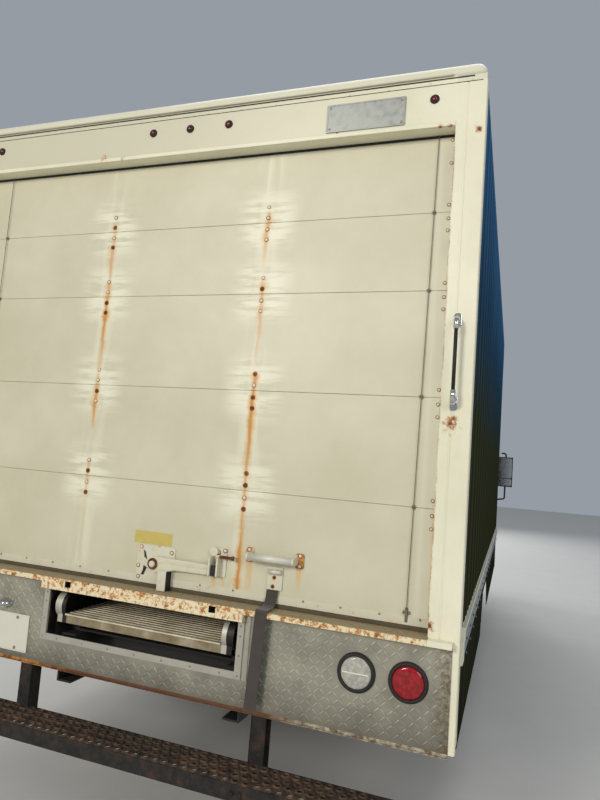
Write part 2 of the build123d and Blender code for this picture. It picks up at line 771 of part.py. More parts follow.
rod_table = (
    # low X, high X, height, reach of its axis, radius
    (424.0, 616.0, 204.0, 46.0, 14.0),
    (285.0, 346.0, 183.0, 22.0, 5.0),
    (508.0, 552.0, 150.0, 10.0, 7.0),
)
with BuildPart() as door_hardware:
    with BuildSketch(section_at(door_face_y)):
        with Locations((latch_plate[0], deck_line_z + latch_plate[1])):
            RectangleRounded(latch_plate[2], latch_plate[3], 12)
        for cut in latch_cuts:
            with BuildLine():
                Polyline(*[(x, deck_line_z + height) for x, height in cut], close=True)
            make_face(mode=Mode.SUBTRACT)
    extrude(amount=latch_plate_thickness)
    with BuildSketch(section_at(door_face_y - lever_reach[0])):
        with BuildLine():
            Polyline(*[(x, deck_line_z + height) for x, height in lever_outline], close=True)
        make_face()
    extrude(amount=lever_reach[1] - lever_reach[0])
    for low_x, high_x, low, high, reach in plate_table:
        slab((low_x, high_x), (door_face_y - reach, door_face_y), (deck_line_z + low, deck_line_z + high))
    for x, height, radius, reach in boss_table:
        with BuildSketch(section_at(door_face_y)):
            with Locations((x, deck_line_z + height)):
                Circle(radius)
        extrude(amount=reach)
    for low_x, high_x, height, reach, radius in rod_table:
        with BuildSketch(side_at(low_x)):
            with Locations((door_face_y - reach, deck_line_z + height)):
                Circle(radius)
        extrude(amount=high_x - low_x)
door_hardware.part.label = "door_hardware"
export_step(door_hardware.part, "parts/door_hardware.step")

# Grab handle on the right pillar
handle_x = 1160.0
handle_z = (deck_line_z + 792.0, deck_line_z + 1138.0)
handle_reach = 48.0
with BuildPart() as grab_handle:
    for low, high in ((handle_z[0], handle_z[0] + 50), (handle_z[1] - 50, handle_z[1])):
        slab((handle_x - 14, handle_x + 14), (rear_y - 5, rear_y), (low, high))
    with BuildLine() as grip:
        FilletPolyline(
            (handle_x, rear_y - 5, handle_z[0] + 25),
            (handle_x, rear_y - handle_reach, handle_z[0] + 25),
            (handle_x, rear_y - handle_reach, handle_z[1] - 25),
            (handle_x, rear_y - 5, handle_z[1] - 25),
            radius=24,
        )
    with BuildSketch(Plane(origin=grip.line @ 0, z_dir=grip.line % 0)):
        Circle(8.0)
    sweep(path=grip.line)
grab_handle.part.label = "grab_handle"
export_step(grab_handle.part, "parts/grab_handle.step")

# Diamond-plate apron with the ramp's slot and a hole for each lamp
lamp_table = ((1060.0, -135.0), (880.0, -135.0), (-925.0, -135.0), (-1080.0, -135.0))
lamp_hole_radius = 60.0
lamp_flange_radius = 68.0
lamp_lens_radius = 54.5
lamp_depth = apron_thickness
lamp_dome_radius = 170.0
apron_face_y = rear_y - apron_thickness
with BuildPart() as rear_apron:
    slab((-apron_half_width, apron_half_width), (apron_face_y, rear_y), (apron_bottom_z, deck_line_z))
    slab(ramp_slot_x, (apron_face_y - 1, rear_y + 1), (ramp_slot_z[0], deck_line_z + 1), mode=Mode.SUBTRACT)
    slab((ramp_slot_x[0] - slot_trim, ramp_slot_x[1] + slot_trim), (apron_face_y - 1, rear_y + 1),
         (sill_bottom_z, deck_line_z + 1), mode=Mode.SUBTRACT)
    with BuildSketch(section_at(rear_y)):
        for x, height in lamp_table:
            with Locations((x, deck_line_z + height)):
                Circle(lamp_hole_radius)
    extrude(amount=apron_thickness, mode=Mode.SUBTRACT)
rear_apron.part.label = "rear_apron"
export_step(rear_apron.part, "parts/rear_apron.step")

# Round lamps in rubber grommets: tail lamps outboard, reversing lamps inboard
with BuildPart() as rear_lamps:
    for x, height in lamp_table:
        lamp_axis = Axis((x, 0, deck_line_z + height), (0, 1, 0))
        lamp_origin = (x, apron_face_y, deck_line_z + height)
        with BuildSketch(Plane(origin=lamp_origin, x_dir=(1, 0, 0), z_dir=(0, 0, 1))):
            with BuildLine():
                rim_line = Polyline(
                    (0, lamp_depth), (lamp_hole_radius, lamp_depth), (lamp_hole_radius, 0),
                    (lamp_flange_radius, 0), (lamp_flange_radius, -6), (lamp_flange_radius - 6, -11),
                    (lamp_lens_radius, -11),
                )
                sweep_angle = degrees(asin(lamp_lens_radius / lamp_dome_radius))
                dome = CenterArc((0, lamp_dome_radius - 16), lamp_dome_radius, 270, sweep_angle)
                Line(rim_line @ 1, dome @ 1)
                Line(dome @ 0, rim_line @ 0)
            make_face()
        revolve(axis=lamp_axis)
rear_lamps.part.label = "rear_lamps"
export_step(rear_lamps.part, "parts/rear_lamps.step")

# Small round marker lamps across the header and the front of the box
marker_xs = (-1034.0, -183.0, 0.0, 183.0, 1034.0)
marker_z = deck_line_z + 1956.0
with BuildPart() as marker_lamps:
    for x in marker_xs:
        with BuildSketch(section_at(rear_y)):
            with Locations((x, marker_z)):
                Circle(17.0)
        extrude(amount=12.0)
        with BuildSketch(section_at(body_front_y + 12)):
            with Locations((x, marker_z)):
                Circle(17.0)
        extrude(amount=12.0)
marker_lamps.part.label = "marker_lamps"
export_step(marker_lamps.part, "parts/marker_lamps.step")

# Blank number plate with its lamp above
plate_right_x = -536.0
plate_size = (305.0, 152.0)
plate_top = -161.0
with BuildPart() as number_plate:
    slab((plate_right_x - plate_size[0], plate_right_x), (apron_face_y - 3, apron_face_y),
         (deck_line_z + plate_top - plate_size[1], deck_line_z + plate_top))
number_plate.part.label = "number_plate"
export_step(number_plate.part, "parts/number_plate.step")

# Step bumper: a punched tread on channel legs that hang from the chassis rails
step_top_z = 480.0
step_depth = 165.0
step_flange = 55.0
step_half = 1120.0
leg_x = (frame_outer + 75.0, frame_outer + 135.0)
step_back_y = rear_y - step_reach + step_depth
with BuildPart() as step_bumper:
    slab((-step_half, step_half), (rear_y - step_reach, step_back_y), (step_top_z - 4, step_top_z))
    slab((-step_half, step_half), (rear_y - step_reach, rear_y - step_reach + 4),
         (step_top_z - step_flange, step_top_z))
    slab((-step_half, step_half), (step_back_y - 4, step_back_y), (step_top_z - step_flange, step_top_z))
    for side in both_sides:
        slab(mirrored(leg_x, side), (step_back_y, step_back_y + 60),
             (step_top_z - step_flange, apron_bottom_z))
        slab(mirrored(leg_x, side), (rear_y + 50, step_back_y + 60), (apron_bottom_z, apron_bottom_z + 50))
step_bumper.part.label = "step_bumper"
export_step(step_bumper.part, "parts/step_bumper.step")

# Pull strap: webbing from the lowest panel, over the sill and down in front of the apron
strap_x = (486.0, 536.0)
strap_thickness = 3.0
strap_end = -322.0
with BuildPart() as pull_strap:
    lip_y = rear_y - sill_lip_reach
    with BuildSketch(side_at(strap_x[0])):
        with BuildLine():
            Polyline(
                (door_face_y - 6.5, deck_line_z + 88),
                (door_face_y - 6.5 - strap_thickness, deck_line_z + 88),
                (door_face_y - 6.5 - strap_thickness, sill_top_z + strap_thickness + 6),
                (lip_y + 2, sill_top_z + strap_thickness + 1.5),
                (lip_y - strap_thickness - 1, sill_top_z + 1),
                (lip_y - strap_thickness - 1, deck_line_z + strap_end),
                (lip_y - 0.3, deck_line_z + strap_end),
                (lip_y - 0.3, sill_top_z),
                (lip_y, sill_top_z + 0.3),
                (door_face_y - 6.5, sill_top_z + 4),
                close=True,
            )
        make_face()
    extrude(amount=strap_x[1] - strap_x[0])
pull_strap.part.label = "pull_strap"
export_step(pull_strap.part, "parts/pull_strap.step")

# Loading ramp, stored between the long sills: channel rails with round end caps, a ridged deck and its lip
cap_centre = (ramp_rear_y + 58.0, 895.0)
cap_radius = 58.0
cap_shoulder = 150.0
cap_rim = 6.0
rail_web = 8.0
rail_plate = 6.0
deck_face_z = 866.0
deck_plate = 8.0
deck_lip = 38.0
deck_setback = 12.0
stringer_pitch = 400.0
stringer_size = (40.0, 36.0)
ramp_middle = (ramp_side_x[0] + ramp_side_x[1]) / 2
with BuildPart() as ramp:
    for side, x in ((-1, ramp_side_x[0]), (1, ramp_side_x[1])):
        inner = x - side * ramp_rail
        web_x = x - side * rail_web
        run = (ramp_rear_y + cap_shoulder, ramp_rear_y + ramp_length)
        slab(sorted((x, web_x)), run, (ramp_bottom_z, ramp_top_z))
        slab(sorted((x, inner)), run, (ramp_bottom_z, ramp_bottom_z + rail_plate))
        slab(sorted((x, inner)), run, (ramp_top_z - rail_plate, ramp_top_z))
        for inset, low_x, high_x, mode in (
            (0.0, x, inner, Mode.ADD),
            (cap_rim, web_x, inner - side, Mode.SUBTRACT),
        ):
            with BuildSketch(side_at(min(low_x, high_x))):
                with BuildLine():
                    cap = Polyline(
                        (cap_centre[0], cap_centre[1] + cap_radius - inset),
                        (ramp_rear_y + cap_shoulder - 40, cap_centre[1] + cap_radius - inset),
                        (ramp_rear_y + cap_shoulder + 30 - inset, ramp_top_z - inset),
                        (ramp_rear_y + cap_shoulder + 30 - inset, ramp_bottom_z + inset),
                        (ramp_rear_y + cap_shoulder - 40, cap_centre[1] - cap_radius + inset),
                        (cap_centre[0], cap_centre[1] - cap_radius + inset),
                    )
                    ThreePointArc(cap @ 1, (cap_centre[0] - cap_radius + inset, cap_centre[1]), cap @ 0)
                make_face()
            extrude(amount=abs(high_x - low_x), mode=mode)
    between = (ramp_side_x[0] + rail_web, ramp_side_x[1] - rail_web)
    deck_run = (ramp_rear_y + deck_setback, ramp_rear_y + ramp_length)
    slab(between, deck_run, (deck_face_z - deck_plate, deck_face_z))
    slab(between, (deck_run[0], deck_run[0] + rail_plate), (deck_face_z - deck_lip, deck_face_z))
    y = deck_run[0] + stringer_pitch
    while y < deck_run[1]:
        slab(between, (y - stringer_size[0] / 2, y + stringer_size[0] / 2),
             (deck_face_z - deck_plate - stringer_size[1], deck_face_z - deck_plate))
        y += stringer_pitch
    slab((ramp_middle - stringer_size[0] / 2, ramp_middle + stringer_size[0] / 2),
         (deck_run[0] + 60, deck_run[1]),
         (deck_face_z - deck_plate - stringer_size[1], deck_face_z - deck_plate))
ramp.part.label = "ramp"
export_step(ramp.part, "parts/ramp.step")

# Engine with its gearbox, one plain block between the rails
engine_back = -350.0
engine_front = 550.0
engine_z = (430.0, 1050.0)
sump_step = 60.0
sump_front = -90.0
gearbox_length = 700.0
gearbox_size = 360.0
gearbox_z = 620.0
gearbox_taper = 9.0
with BuildPart() as engine:
    slab((-engine_half, engine_half), (front_axle_y + engine_back, front_axle_y + sump_front), engine_z)
    slab((-engine_half, engine_half), (front_axle_y + sump_front, front_axle_y + engine_front),
         (engine_z[0] + sump_step, engine_z[1]))
    with BuildSketch(section_at(front_axle_y + engine_back)):
        with Locations((0, gearbox_z)):
            Rectangle(gearbox_size, gearbox_size)
    extrude(amount=gearbox_length, taper=gearbox_taper)
engine.part.label = "engine"
export_step(engine.part, "parts/engine.step")

# Drive shaft from the gearbox to the rear axle, with a flange at each end
gearbox_end = (front_axle_y + engine_back - gearbox_length, gearbox_z)
pinion_end = (rear_axle_y + pinion_reach, axle_z + pinion_rise)
shaft_flange = 20.0
with BuildPart() as drive_shaft:
    shaft_from = (0, pinion_end[0] + shaft_flange / 2, pinion_end[1])
    shaft_to = (0, gearbox_end[0] - shaft_flange / 2, gearbox_end[1])
    with BuildLine() as shaft_line:
        Line(shaft_from, shaft_to)
    with BuildSketch(Plane(origin=shaft_line.line @ 0, z_dir=shaft_line.line % 0)):
        Circle(42.0)
    sweep(path=shaft_line.line)
    for y, z in ((pinion_end[0] + shaft_flange, pinion_end[1]), gearbox_end):
        with BuildSketch(section_at(y)):
            with Locations((0, z)):
                Circle(56.0)
        extrude(amount=shaft_flange)
drive_shaft.part.label = "drive_shaft"
export_step(drive_shaft.part, "parts/drive_shaft.step")

# Fuel tank, battery box and exhaust, hung beside the rails between the axles
tank_x = (frame_outer, 860.0)
tank_y = (-380.0, 620.0)
tank_z = (430.0, 735.0)
with BuildPart() as fuel_tank:
    with BuildSketch(section_at(tank_y[1])):
        with Locations((-(tank_x[0] + tank_x[1]) / 2, (tank_z[0] + tank_z[1]) / 2)):
            RectangleRounded(tank_x[1] - tank_x[0], tank_z[1] - tank_z[0], 60)
    extrude(amount=tank_y[1] - tank_y[0])
fuel_tank.part.label = "fuel_tank"
export_step(fuel_tank.part, "parts/fuel_tank.step")

box_x = (-880.0, -frame_outer)
box_y = (780.0, 1180.0)
box_z = (470.0, 735.0)
with BuildPart() as battery_box:
    slab(box_x, box_y, box_z)
    fillet(battery_box.edges().filter_by(Axis.Z), radius=20)
battery_box.part.label = "battery_box"
export_step(battery_box.part, "parts/battery_box.step")

muffler_centre = (frame_outer + 165.0, 560.0)
muffler_radius = 115.0
muffler_y = (-60.0, 640.0)
pipe_radius = 38.0
with BuildPart() as exhaust:
    with BuildSketch(section_at(muffler_y[1])):
        with Locations(muffler_centre):
            Circle(muffler_radius)
    extrude(amount=muffler_y[1] - muffler_y[0])
    with BuildLine() as front_pipe:
        FilletPolyline(
            (engine_half - 50, front_axle_y + engine_back, 500),
            (engine_half - 50, front_axle_y + engine_back - 260, 500),
            (muffler_centre[0], front_axle_y + engine_back - 560, 500),
            (muffler_centre[0], muffler_y[1] - 20, muffler_centre[1]),
            radius=140,
        )
    with BuildSketch(Plane(origin=front_pipe.line @ 0, z_dir=front_pipe.line % 0)):
        Circle(pipe_radius)
    sweep(path=front_pipe.line)
    with BuildLine() as tail_pipe:
        FilletPolyline(
            (muffler_centre[0], muffler_y[0] + 20, muffler_centre[1]),
            (muffler_centre[0], muffler_y[0] - 260, muffler_centre[1]),
            (1150, muffler_y[0] - 330, muffler_centre[1] - 60),
            radius=140,
        )
    with BuildSketch(Plane(origin=tail_pipe.line @ 0, z_dir=tail_pipe.line % 0)):
        Circle(pipe_radius)
    sweep(path=tail_pipe.line)
    for y in (muffler_y[0] + 120, muffler_y[1] - 120):
        slab((frame_outer, muffler_centre[0] - 40), (y - 15, y + 15),
             (muffler_centre[1] + 60, muffler_centre[1] + 150))
exhaust.part.label = "exhaust"
export_step(exhaust.part, "parts/exhaust.step")

# Front bumper: a channel with rounded ends on the frame's stays
bumper_z = (400.0, 630.0)
bumper_half = 1000.0
bumper_lip = 120.0
with BuildPart() as front_bumper:
    with BuildSketch(Plane.XY.offset(bumper_z[0])):
        with BuildLine():
            Polyline(
                (-bumper_half, bumper_front_y - bumper_lip), (-bumper_half, bumper_front_y),
                (bumper_half, bumper_front_y), (bumper_half, bumper_front_y - bumper_lip), close=True,
            )
        make_face()
    extrude(amount=bumper_z[1] - bumper_z[0])
    fillet(front_bumper.edges().filter_by(Axis.Z).group_by(Axis.Y)[-1], radius=100)
    slab((-bumper_half + bumper_skin, bumper_half - bumper_skin),
         (bumper_front_y - bumper_lip - 1, bumper_front_y - bumper_skin),
         (bumper_z[0] + bumper_skin, bumper_z[1] + 1), mode=Mode.SUBTRACT)
    with BuildSketch(section_at(bumper_front_y)):
        for x in (-89.0, 89.0):
            with Locations((x, 540)):
                Circle(3.5)
    extrude(amount=bumper_skin, mode=Mode.SUBTRACT)
front_bumper.part.label = "front_bumper"
export_step(front_bumper.part, "parts/front_bumper.step")

# Cab form: the outline from the side, the front and above, each drawn in by the same inset
windscreen_foot = (1040.0, 1400.0)
windscreen_slope = 22.0
waist_z = 1400.0
cab_roof_half = 950.0
cab_corner = 150.0
cab_roof_round = 100.0
cab_skirt_z = 800.0


def cab_form(inset):
    # The closed outer shape of the cab, or a smaller or larger copy of it
    lean = tan(radians(windscreen_slope))
    roof_front = windscreen_foot[0] - (cab_roof_z - windscreen_foot[1]) * lean
    with BuildPart() as form:
        with BuildSketch(side_at(-cab_half - 100)):
            with BuildLine():
                Polyline(
                    (front_axle_y + cab_back, cab_front_bottom_z),
                    (front_axle_y + cab_back, cab_roof_z),
                    (front_axle_y + roof_front, cab_roof_z),
                    (front_axle_y + windscreen_foot[0], windscreen_foot[1]),
                    (front_axle_y + cab_front, windscreen_foot[1] - 150),
                    (front_axle_y + cab_front, cab_front_bottom_z),
                    close=True,
                )
            side_face = make_face()
            fillet(side_face.vertices().group_by(Axis.Y)[-1], radius=cab_roof_round)
            if inset:
                offset(amount=-inset, kind=Kind.INTERSECTION, mode=Mode.REPLACE)
        extrude(amount=2 * cab_half + 200)
        with BuildSketch(section_at(front_axle_y + cab_front + 100)):
            with BuildLine():
                Polyline(
                    (-cab_half, cab_front_bottom_z), (-cab_half, waist_z), (-cab_roof_half, cab_roof_z),
                    (cab_roof_half, cab_roof_z), (cab_half, waist_z), (cab_half, cab_front_bottom_z),
                    close=True,
                )
            front_face = make_face()
            fillet(front_face.vertices().group_by(Axis.Y)[-1], radius=cab_roof_round)
            if inset:
                offset(amount=-inset, kind=Kind.INTERSECTION, mode=Mode.REPLACE)
        extrude(amount=cab_front - cab_back + 200, mode=Mode.INTERSECT)
        with BuildSketch(Plane.XY.offset(cab_front_bottom_z - 100)):
            with BuildLine():
                plan = Polyline(
                    (cab_half, front_axle_y + cab_front - 40), (cab_half, front_axle_y + cab_back),
                    (-cab_half, front_axle_y + cab_back), (-cab_half, front_axle_y + cab_front - 40),
                )
                ThreePointArc(plan @ 1, (0, front_axle_y + cab_front), plan @ 0)
            plan_face = make_face()
            fillet(plan_face.vertices().group_by(Axis.Y)[-1], radius=cab_corner)
            if inset:
                offset(amount=-inset, kind=Kind.INTERSECTION, mode=Mode.REPLACE)
        extrude(amount=cab_roof_z - cab_front_bottom_z + 200, mode=Mode.INTERSECT)
    return form.part


def side_prism(points, low_x, high_x):
    # A prism through one side of the cab, from an outline measured from the front axle
    with BuildPart() as prism:
        with BuildSketch(side_at(low_x)):
            with BuildLine():
                Polyline(*[(front_axle_y + ahead, z) for ahead, z in points], close=True)
            make_face()
        extrude(amount=high_x - low_x)
    return prism.part


# Cab shell: hollow, open under its floor, with an engine tunnel, door openings and windows
floor_plate = 40.0
underside_drop = 120.0
tunnel_half = 340.0
tunnel_top_z = 1105.0
tunnel_front = 640.0
tunnel_wall = 40.0
hinge_arm_x = (frame_outer + 30.0, frame_outer + 75.0)
window_low_z = 1450.0
door_front = 860.0
door_back = -300.0
door_top_z = 2110.0
door_low_z = 700.0
arch_gap_radius = cab_arch_radius + 30.0
window_glass = 6.0
glass_inset = 22.0
hinge_x = cab_half + 14
hinge_y = front_axle_y + door_front + door_gap / 2
hinge_radius = 11.0
hinge_pin_radius = 6.0
hinge_length = 60.0
hinge_lug = 20.0
hinge_heights = (840.0, 1120.0)
windscreen_top_z = cab_roof_z - 130
windscreen_outline = ((-860, window_low_z), (-800, windscreen_top_z), (800, windscreen_top_z), (860, window_low_z))
rear_window_half = 520.0
rear_window_z = (1500.0, 2000.0)


def door_outline(grow):
    # The door from the side, drawn out by a gap on every edge
    back = door_back - grow
    front = door_front + grow
    lean = tan(radians(windscreen_slope))
    top = door_top_z + grow
    bend = front - 20
    arc_start = sqrt(arch_gap_radius ** 2 - (door_low_z - axle_z) ** 2)
    points = [(back, top), (front - (top - waist_z) * lean - 60, top), (bend, waist_z), (front, waist_z - 60)]
    points += [(front, door_low_z - grow), (arc_start - grow, door_low_z - grow)]
    for turn in (50, 65, 80, 95, 110, 123):
        reach = arch_gap_radius - grow
        points.append((reach * cos(radians(turn)), axle_z + reach * sin(radians(turn))))
    points.append((back, points[-1][1]))
    return points


outer_form = cab_form(0)
inner_form = cab_form(cab_wall)
glass_form = cab_form(glass_inset)
glass_core = cab_form(glass_inset + window_glass)

door_window = ((door_back + 70, window_low_z), (door_back + 70, door_top_z - 70),
               (door_front - 150 - (door_top_z - 70 - waist_z) * tan(radians(windscreen_slope)),
                door_top_z - 70),
               (door_front - 130, window_low_z))

with BuildPart() as cab_shell:
    add(outer_form)
    add(inner_form, mode=Mode.SUBTRACT)
    add(inner_form.moved(Location((0, 0, -underside_drop))), mode=Mode.SUBTRACT)
    slab((-cab_half + cab_wall, cab_half - cab_wall),
         (front_axle_y + cab_back + cab_wall, front_axle_y + cab_front - cab_wall - 40),
         (cab_floor_z - floor_plate, cab_floor_z))
    slab((-tunnel_half, tunnel_half), (front_axle_y + cab_back + cab_wall, front_axle_y + tunnel_front),
         (cab_floor_z, tunnel_top_z))
    slab((-tunnel_half + tunnel_wall, tunnel_half - tunnel_wall),
         (front_axle_y + cab_back - 1, front_axle_y + tunnel_front - tunnel_wall),
         (cab_front_bottom_z - 1, tunnel_top_z - tunnel_wall), mode=Mode.SUBTRACT)
    with BuildSketch(side_at(-cab_half - 10)):
        with Locations((front_axle_y, axle_z)):
            Circle(cab_arch_radius)
        with Locations((front_axle_y + cab_back / 2 - 100, cab_skirt_z - 100)):
            Rectangle(-cab_back + 200, 200)
    extrude(amount=2 * cab_half + 20, mode=Mode.SUBTRACT)
    for side in both_sides:
        with BuildSketch(side_at(min(side * hinge_arm_x[0], side * hinge_arm_x[1]))):
            with BuildLine():
                Polyline(
                    (cab_pivot_y - 60, cab_floor_z - floor_plate),
                    (cab_pivot_y + 40, cab_floor_z - floor_plate),
                    (cab_pivot_y + 36, cab_pivot_z), (cab_pivot_y - 36, cab_pivot_z), close=True,
                )
            make_face()
            with Locations((cab_pivot_y, cab_pivot_z)):
                Circle(38.0)
            with Locations((cab_pivot_y, cab_pivot_z)):
                Circle(tilt_tube_radius + pin_clearance, mode=Mode.SUBTRACT)
        extrude(amount=hinge_arm_x[1] - hinge_arm_x[0])
    with BuildSketch(section_at(front_axle_y + cab_front + 50)):
        with BuildLine():
            Polyline(*windscreen_outline, close=True)
        make_face()
    extrude(amount=520, mode=Mode.SUBTRACT)
    slab((-rear_window_half, rear_window_half),
         (front_axle_y + cab_back - 1, front_axle_y + cab_back + cab_wall + 1),
         rear_window_z, mode=Mode.SUBTRACT)
    for side in both_sides:
        upper = side_prism(door_outline(door_gap), *mirrored((cab_roof_half - 150, cab_half + 20), side))
        add(upper, mode=Mode.SUBTRACT)
    for side in both_sides:
        for z in hinge_heights:
            with BuildSketch(Plane.XY.offset(z - hinge_lug)):
                with Locations((side * hinge_x, hinge_y)):
                    Circle(hinge_pin_radius)
            extrude(amount=hinge_length + 2 * hinge_lug)
            for lug_z in (z - hinge_lug, z + hinge_length + pin_clearance):
                with BuildSketch(Plane.XY.offset(lug_z)):
                    with Locations((side * hinge_x, hinge_y)):
                        Circle(hinge_radius)
                    with BuildLine():
                        Polyline(
                            (side * cab_half, hinge_y + 46), (side * (cab_half + 6), hinge_y + 46),
                            (side * (hinge_x + 6), hinge_y + 8), (side * (hinge_x - 8), hinge_y + 6),
                            (side * cab_half, hinge_y + 6), close=True,
                        )
                    make_face()
                extrude(amount=hinge_lug - pin_clearance)
cab_shell.part.label = "cab_shell"
export_step(cab_shell.part, "parts/cab_shell.step")

# Doors: slices of the same wall, with a window opening, hinged at the front edge
door_inner_high = cab_roof_half - 150


def make_door(side):
    with BuildPart() as door:
        add(outer_form)
        add(inner_form, mode=Mode.SUBTRACT)
        add(inner_form.moved(Location((0, 0, -underside_drop))), mode=Mode.SUBTRACT)
        add(side_prism(door_outline(0), *mirrored((door_inner_high, cab_half + 20), side)),
            mode=Mode.INTERSECT)
        add(side_prism(door_window, *mirrored((door_inner_high, cab_half + 20), side)), mode=Mode.SUBTRACT)
        for z in hinge_heights:
            with BuildSketch(Plane.XY.offset(z)):
                with Locations((side * hinge_x, hinge_y)):
                    Circle(hinge_radius)
                with BuildLine():
                    Polyline(
                        (side * cab_half, hinge_y - 60), (side * (cab_half + 6), hinge_y - 60),
                        (side * (hinge_x + 6), hinge_y - 8), (side * (hinge_x - 8), hinge_y - 6),
                        (side * cab_half, hinge_y - 6), close=True,
                    )
                make_face()
                with Locations((side * hinge_x, hinge_y)):
                    Circle(hinge_pin_radius + pin_clearance, mode=Mode.SUBTRACT)
            extrude(amount=hinge_length)
    return door


left_door = make_door(-1)
left_door.part.label = "left_door"
export_step(left_door.part, "parts/left_door.step")
right_door = make_door(1)
right_door.part.label = "right_door"
export_step(right_door.part, "parts/right_door.step")


def make_door_glass(side):
    with BuildPart() as glass:
        add(glass_form)
        add(glass_core, mode=Mode.SUBTRACT)
        add(side_prism(door_window, *mirrored((door_inner_high, cab_half + 20), side)), mode=Mode.INTERSECT)
    return glass


left_door_glass = make_door_glass(-1)
left_door_glass.part.label = "left_door_glass"
export_step(left_door_glass.part, "parts/left_door_glass.step")
right_door_glass = make_door_glass(1)
right_door_glass.part.label = "right_door_glass"
export_step(right_door_glass.part, "parts/right_door_glass.step")

# Windscreen and rear window
with BuildPart() as cab_glass:
    add(glass_form)
    add(glass_core, mode=Mode.SUBTRACT)
    with BuildSketch(section_at(front_axle_y + cab_front + 50)):
        with BuildLine():
            Polyline(*windscreen_outline, close=True)
        make_face()
    extrude(amount=520, mode=Mode.INTERSECT)
    slab((-rear_window_half, rear_window_half), (front_axle_y + cab_back + 25, front_axle_y + cab_back + 31),
         rear_window_z)
cab_glass.part.label = "cab_glass"
export_step(cab_glass.part, "parts/cab_glass.step")

# Grille and headlamps: skins that stand a little proud of the cab's front
trim_form = cab_form(-12)
backing_form = cab_form(-4)
grille_half = 560.0
grille_z = (900.0, 1180.0)
grille_bar = 24.0
grille_rows = 5
with BuildPart() as front_grille:
    grille_run = (front_axle_y + cab_front - 150, front_axle_y + cab_front + 40)
    row_pitch = (grille_z[1] - grille_z[0] - grille_bar) / grille_rows
    for index in range(grille_rows + 1):
        low = grille_z[0] + index * row_pitch
        slab((-grille_half, grille_half), grille_run, (low, low + grille_bar))
    for x in (-grille_half, grille_half - grille_bar):
        slab((x, x + grille_bar), grille_run, grille_z)
    add(trim_form, mode=Mode.INTERSECT)
    with BuildPart(mode=Mode.PRIVATE) as backing:
        slab((-grille_half, grille_half), grille_run, grille_z)
        add(backing_form, mode=Mode.INTERSECT)
    add(backing.part)
    add(outer_form, mode=Mode.SUBTRACT)
front_grille.part.label = "front_grille"
export_step(front_grille.part, "parts/front_grille.step")

with BuildPart() as headlamps:
    add(trim_form)
    add(outer_form, mode=Mode.SUBTRACT)
    with BuildSketch(section_at(front_axle_y + cab_front + 60)):
        for side in both_sides:
            with Locations((side * 780, 790)):
                Rectangle(300, 150)
    extrude(amount=200, mode=Mode.INTERSECT)
headlamps.part.label = "headlamps"
export_step(headlamps.part, "parts/headlamps.step")

# Dashboard with the steering column; it meets the side walls only ahead of the doors
column_x = -430.0
wheel_centre = (column_x, front_axle_y + 520, 1300.0)
column_lean = 38.0
column_dir = (0, sin(radians(column_lean)), -cos(radians(column_lean)))
wheel_hub_depth = 60.0
dash_half = cab_half - cab_wall - 20
dash_ahead = door_front + door_gap + 8
with BuildPart() as dashboard:
    with BuildSketch(side_at(-dash_half)):
        with BuildLine():
            Polyline(
                (front_axle_y + cab_front, cab_floor_z), (front_axle_y + 900, cab_floor_z),
                (front_axle_y + 880, 1150), (front_axle_y + 760, 1220), (front_axle_y + 760, 1340),
                (front_axle_y + 820, 1400), (front_axle_y + cab_front, 1400), close=True,
            )
        make_face()
    extrude(amount=2 * dash_half)
    slab((-cab_half, cab_half), (front_axle_y + dash_ahead, front_axle_y + cab_front), (1180, 1400))
    column_top = Vector(*wheel_centre) + Vector(*column_dir) * wheel_hub_depth
    with BuildSketch(Plane(origin=column_top, z_dir=column_dir)):
        Circle(32.0)
    extrude(amount=480)
    slab((-cab_half, cab_half), (front_axle_y, front_axle_y + cab_front), (cab_front_bottom_z, cab_floor_z),
         mode=Mode.SUBTRACT)
    add(inner_form, mode=Mode.INTERSECT)
dashboard.part.label = "dashboard"
export_step(dashboard.part, "parts/dashboard.step")

wheel_rim_radius = 215.0
with BuildPart() as steering_wheel:
    wheel_plane = Plane(origin=wheel_centre, x_dir=(1, 0, 0), z_dir=column_dir)
    with BuildSketch(wheel_plane):
        Circle(wheel_rim_radius + 14)
        Circle(wheel_rim_radius - 14, mode=Mode.SUBTRACT)
    extrude(amount=13, both=True)
    with BuildSketch(wheel_plane):
        Circle(60)
        with PolarLocations(wheel_rim_radius / 2, 3, start_angle=90):
            Rectangle(wheel_rim_radius, 36)
        Circle(wheel_rim_radius - 10, mode=Mode.INTERSECT)
    extrude(amount=10, both=True)
    with BuildSketch(wheel_plane):
        Circle(34)
    extrude(amount=wheel_hub_depth - pin_clearance)
steering_wheel.part.label = "steering_wheel"
export_step(steering_wheel.part, "parts/steering_wheel.step")

# Seats and their bases
seat_x = (190.0, 660.0)
with BuildPart() as seats:
    for side in both_sides:
        slab(mirrored(seat_x, side), (front_axle_y - 400, front_axle_y + 120), (tunnel_top_z + 0.3, 1240))
        with BuildSketch(side_at(min(side * seat_x[0], side * seat_x[1]))):
            with BuildLine():
                Polyline(
                    (front_axle_y - 400, 1240.3), (front_axle_y - 270, 1240.3), (front_axle_y - 340, 1860),
                    (front_axle_y - 440, 1860), close=True,
                )
            make_face()
        extrude(amount=seat_x[1] - seat_x[0])
seats.part.label = "seats"
export_step(seats.part, "parts/seats.step")

with BuildPart() as seat_bases:
    for side in both_sides:
        slab(mirrored((tunnel_half, seat_x[1] - 10), side), (front_axle_y - 380, front_axle_y + 90),
             (cab_floor_z, tunnel_top_z))
seat_bases.part.label = "seat_bases"
export_step(seat_bases.part, "parts/seat_bases.step")

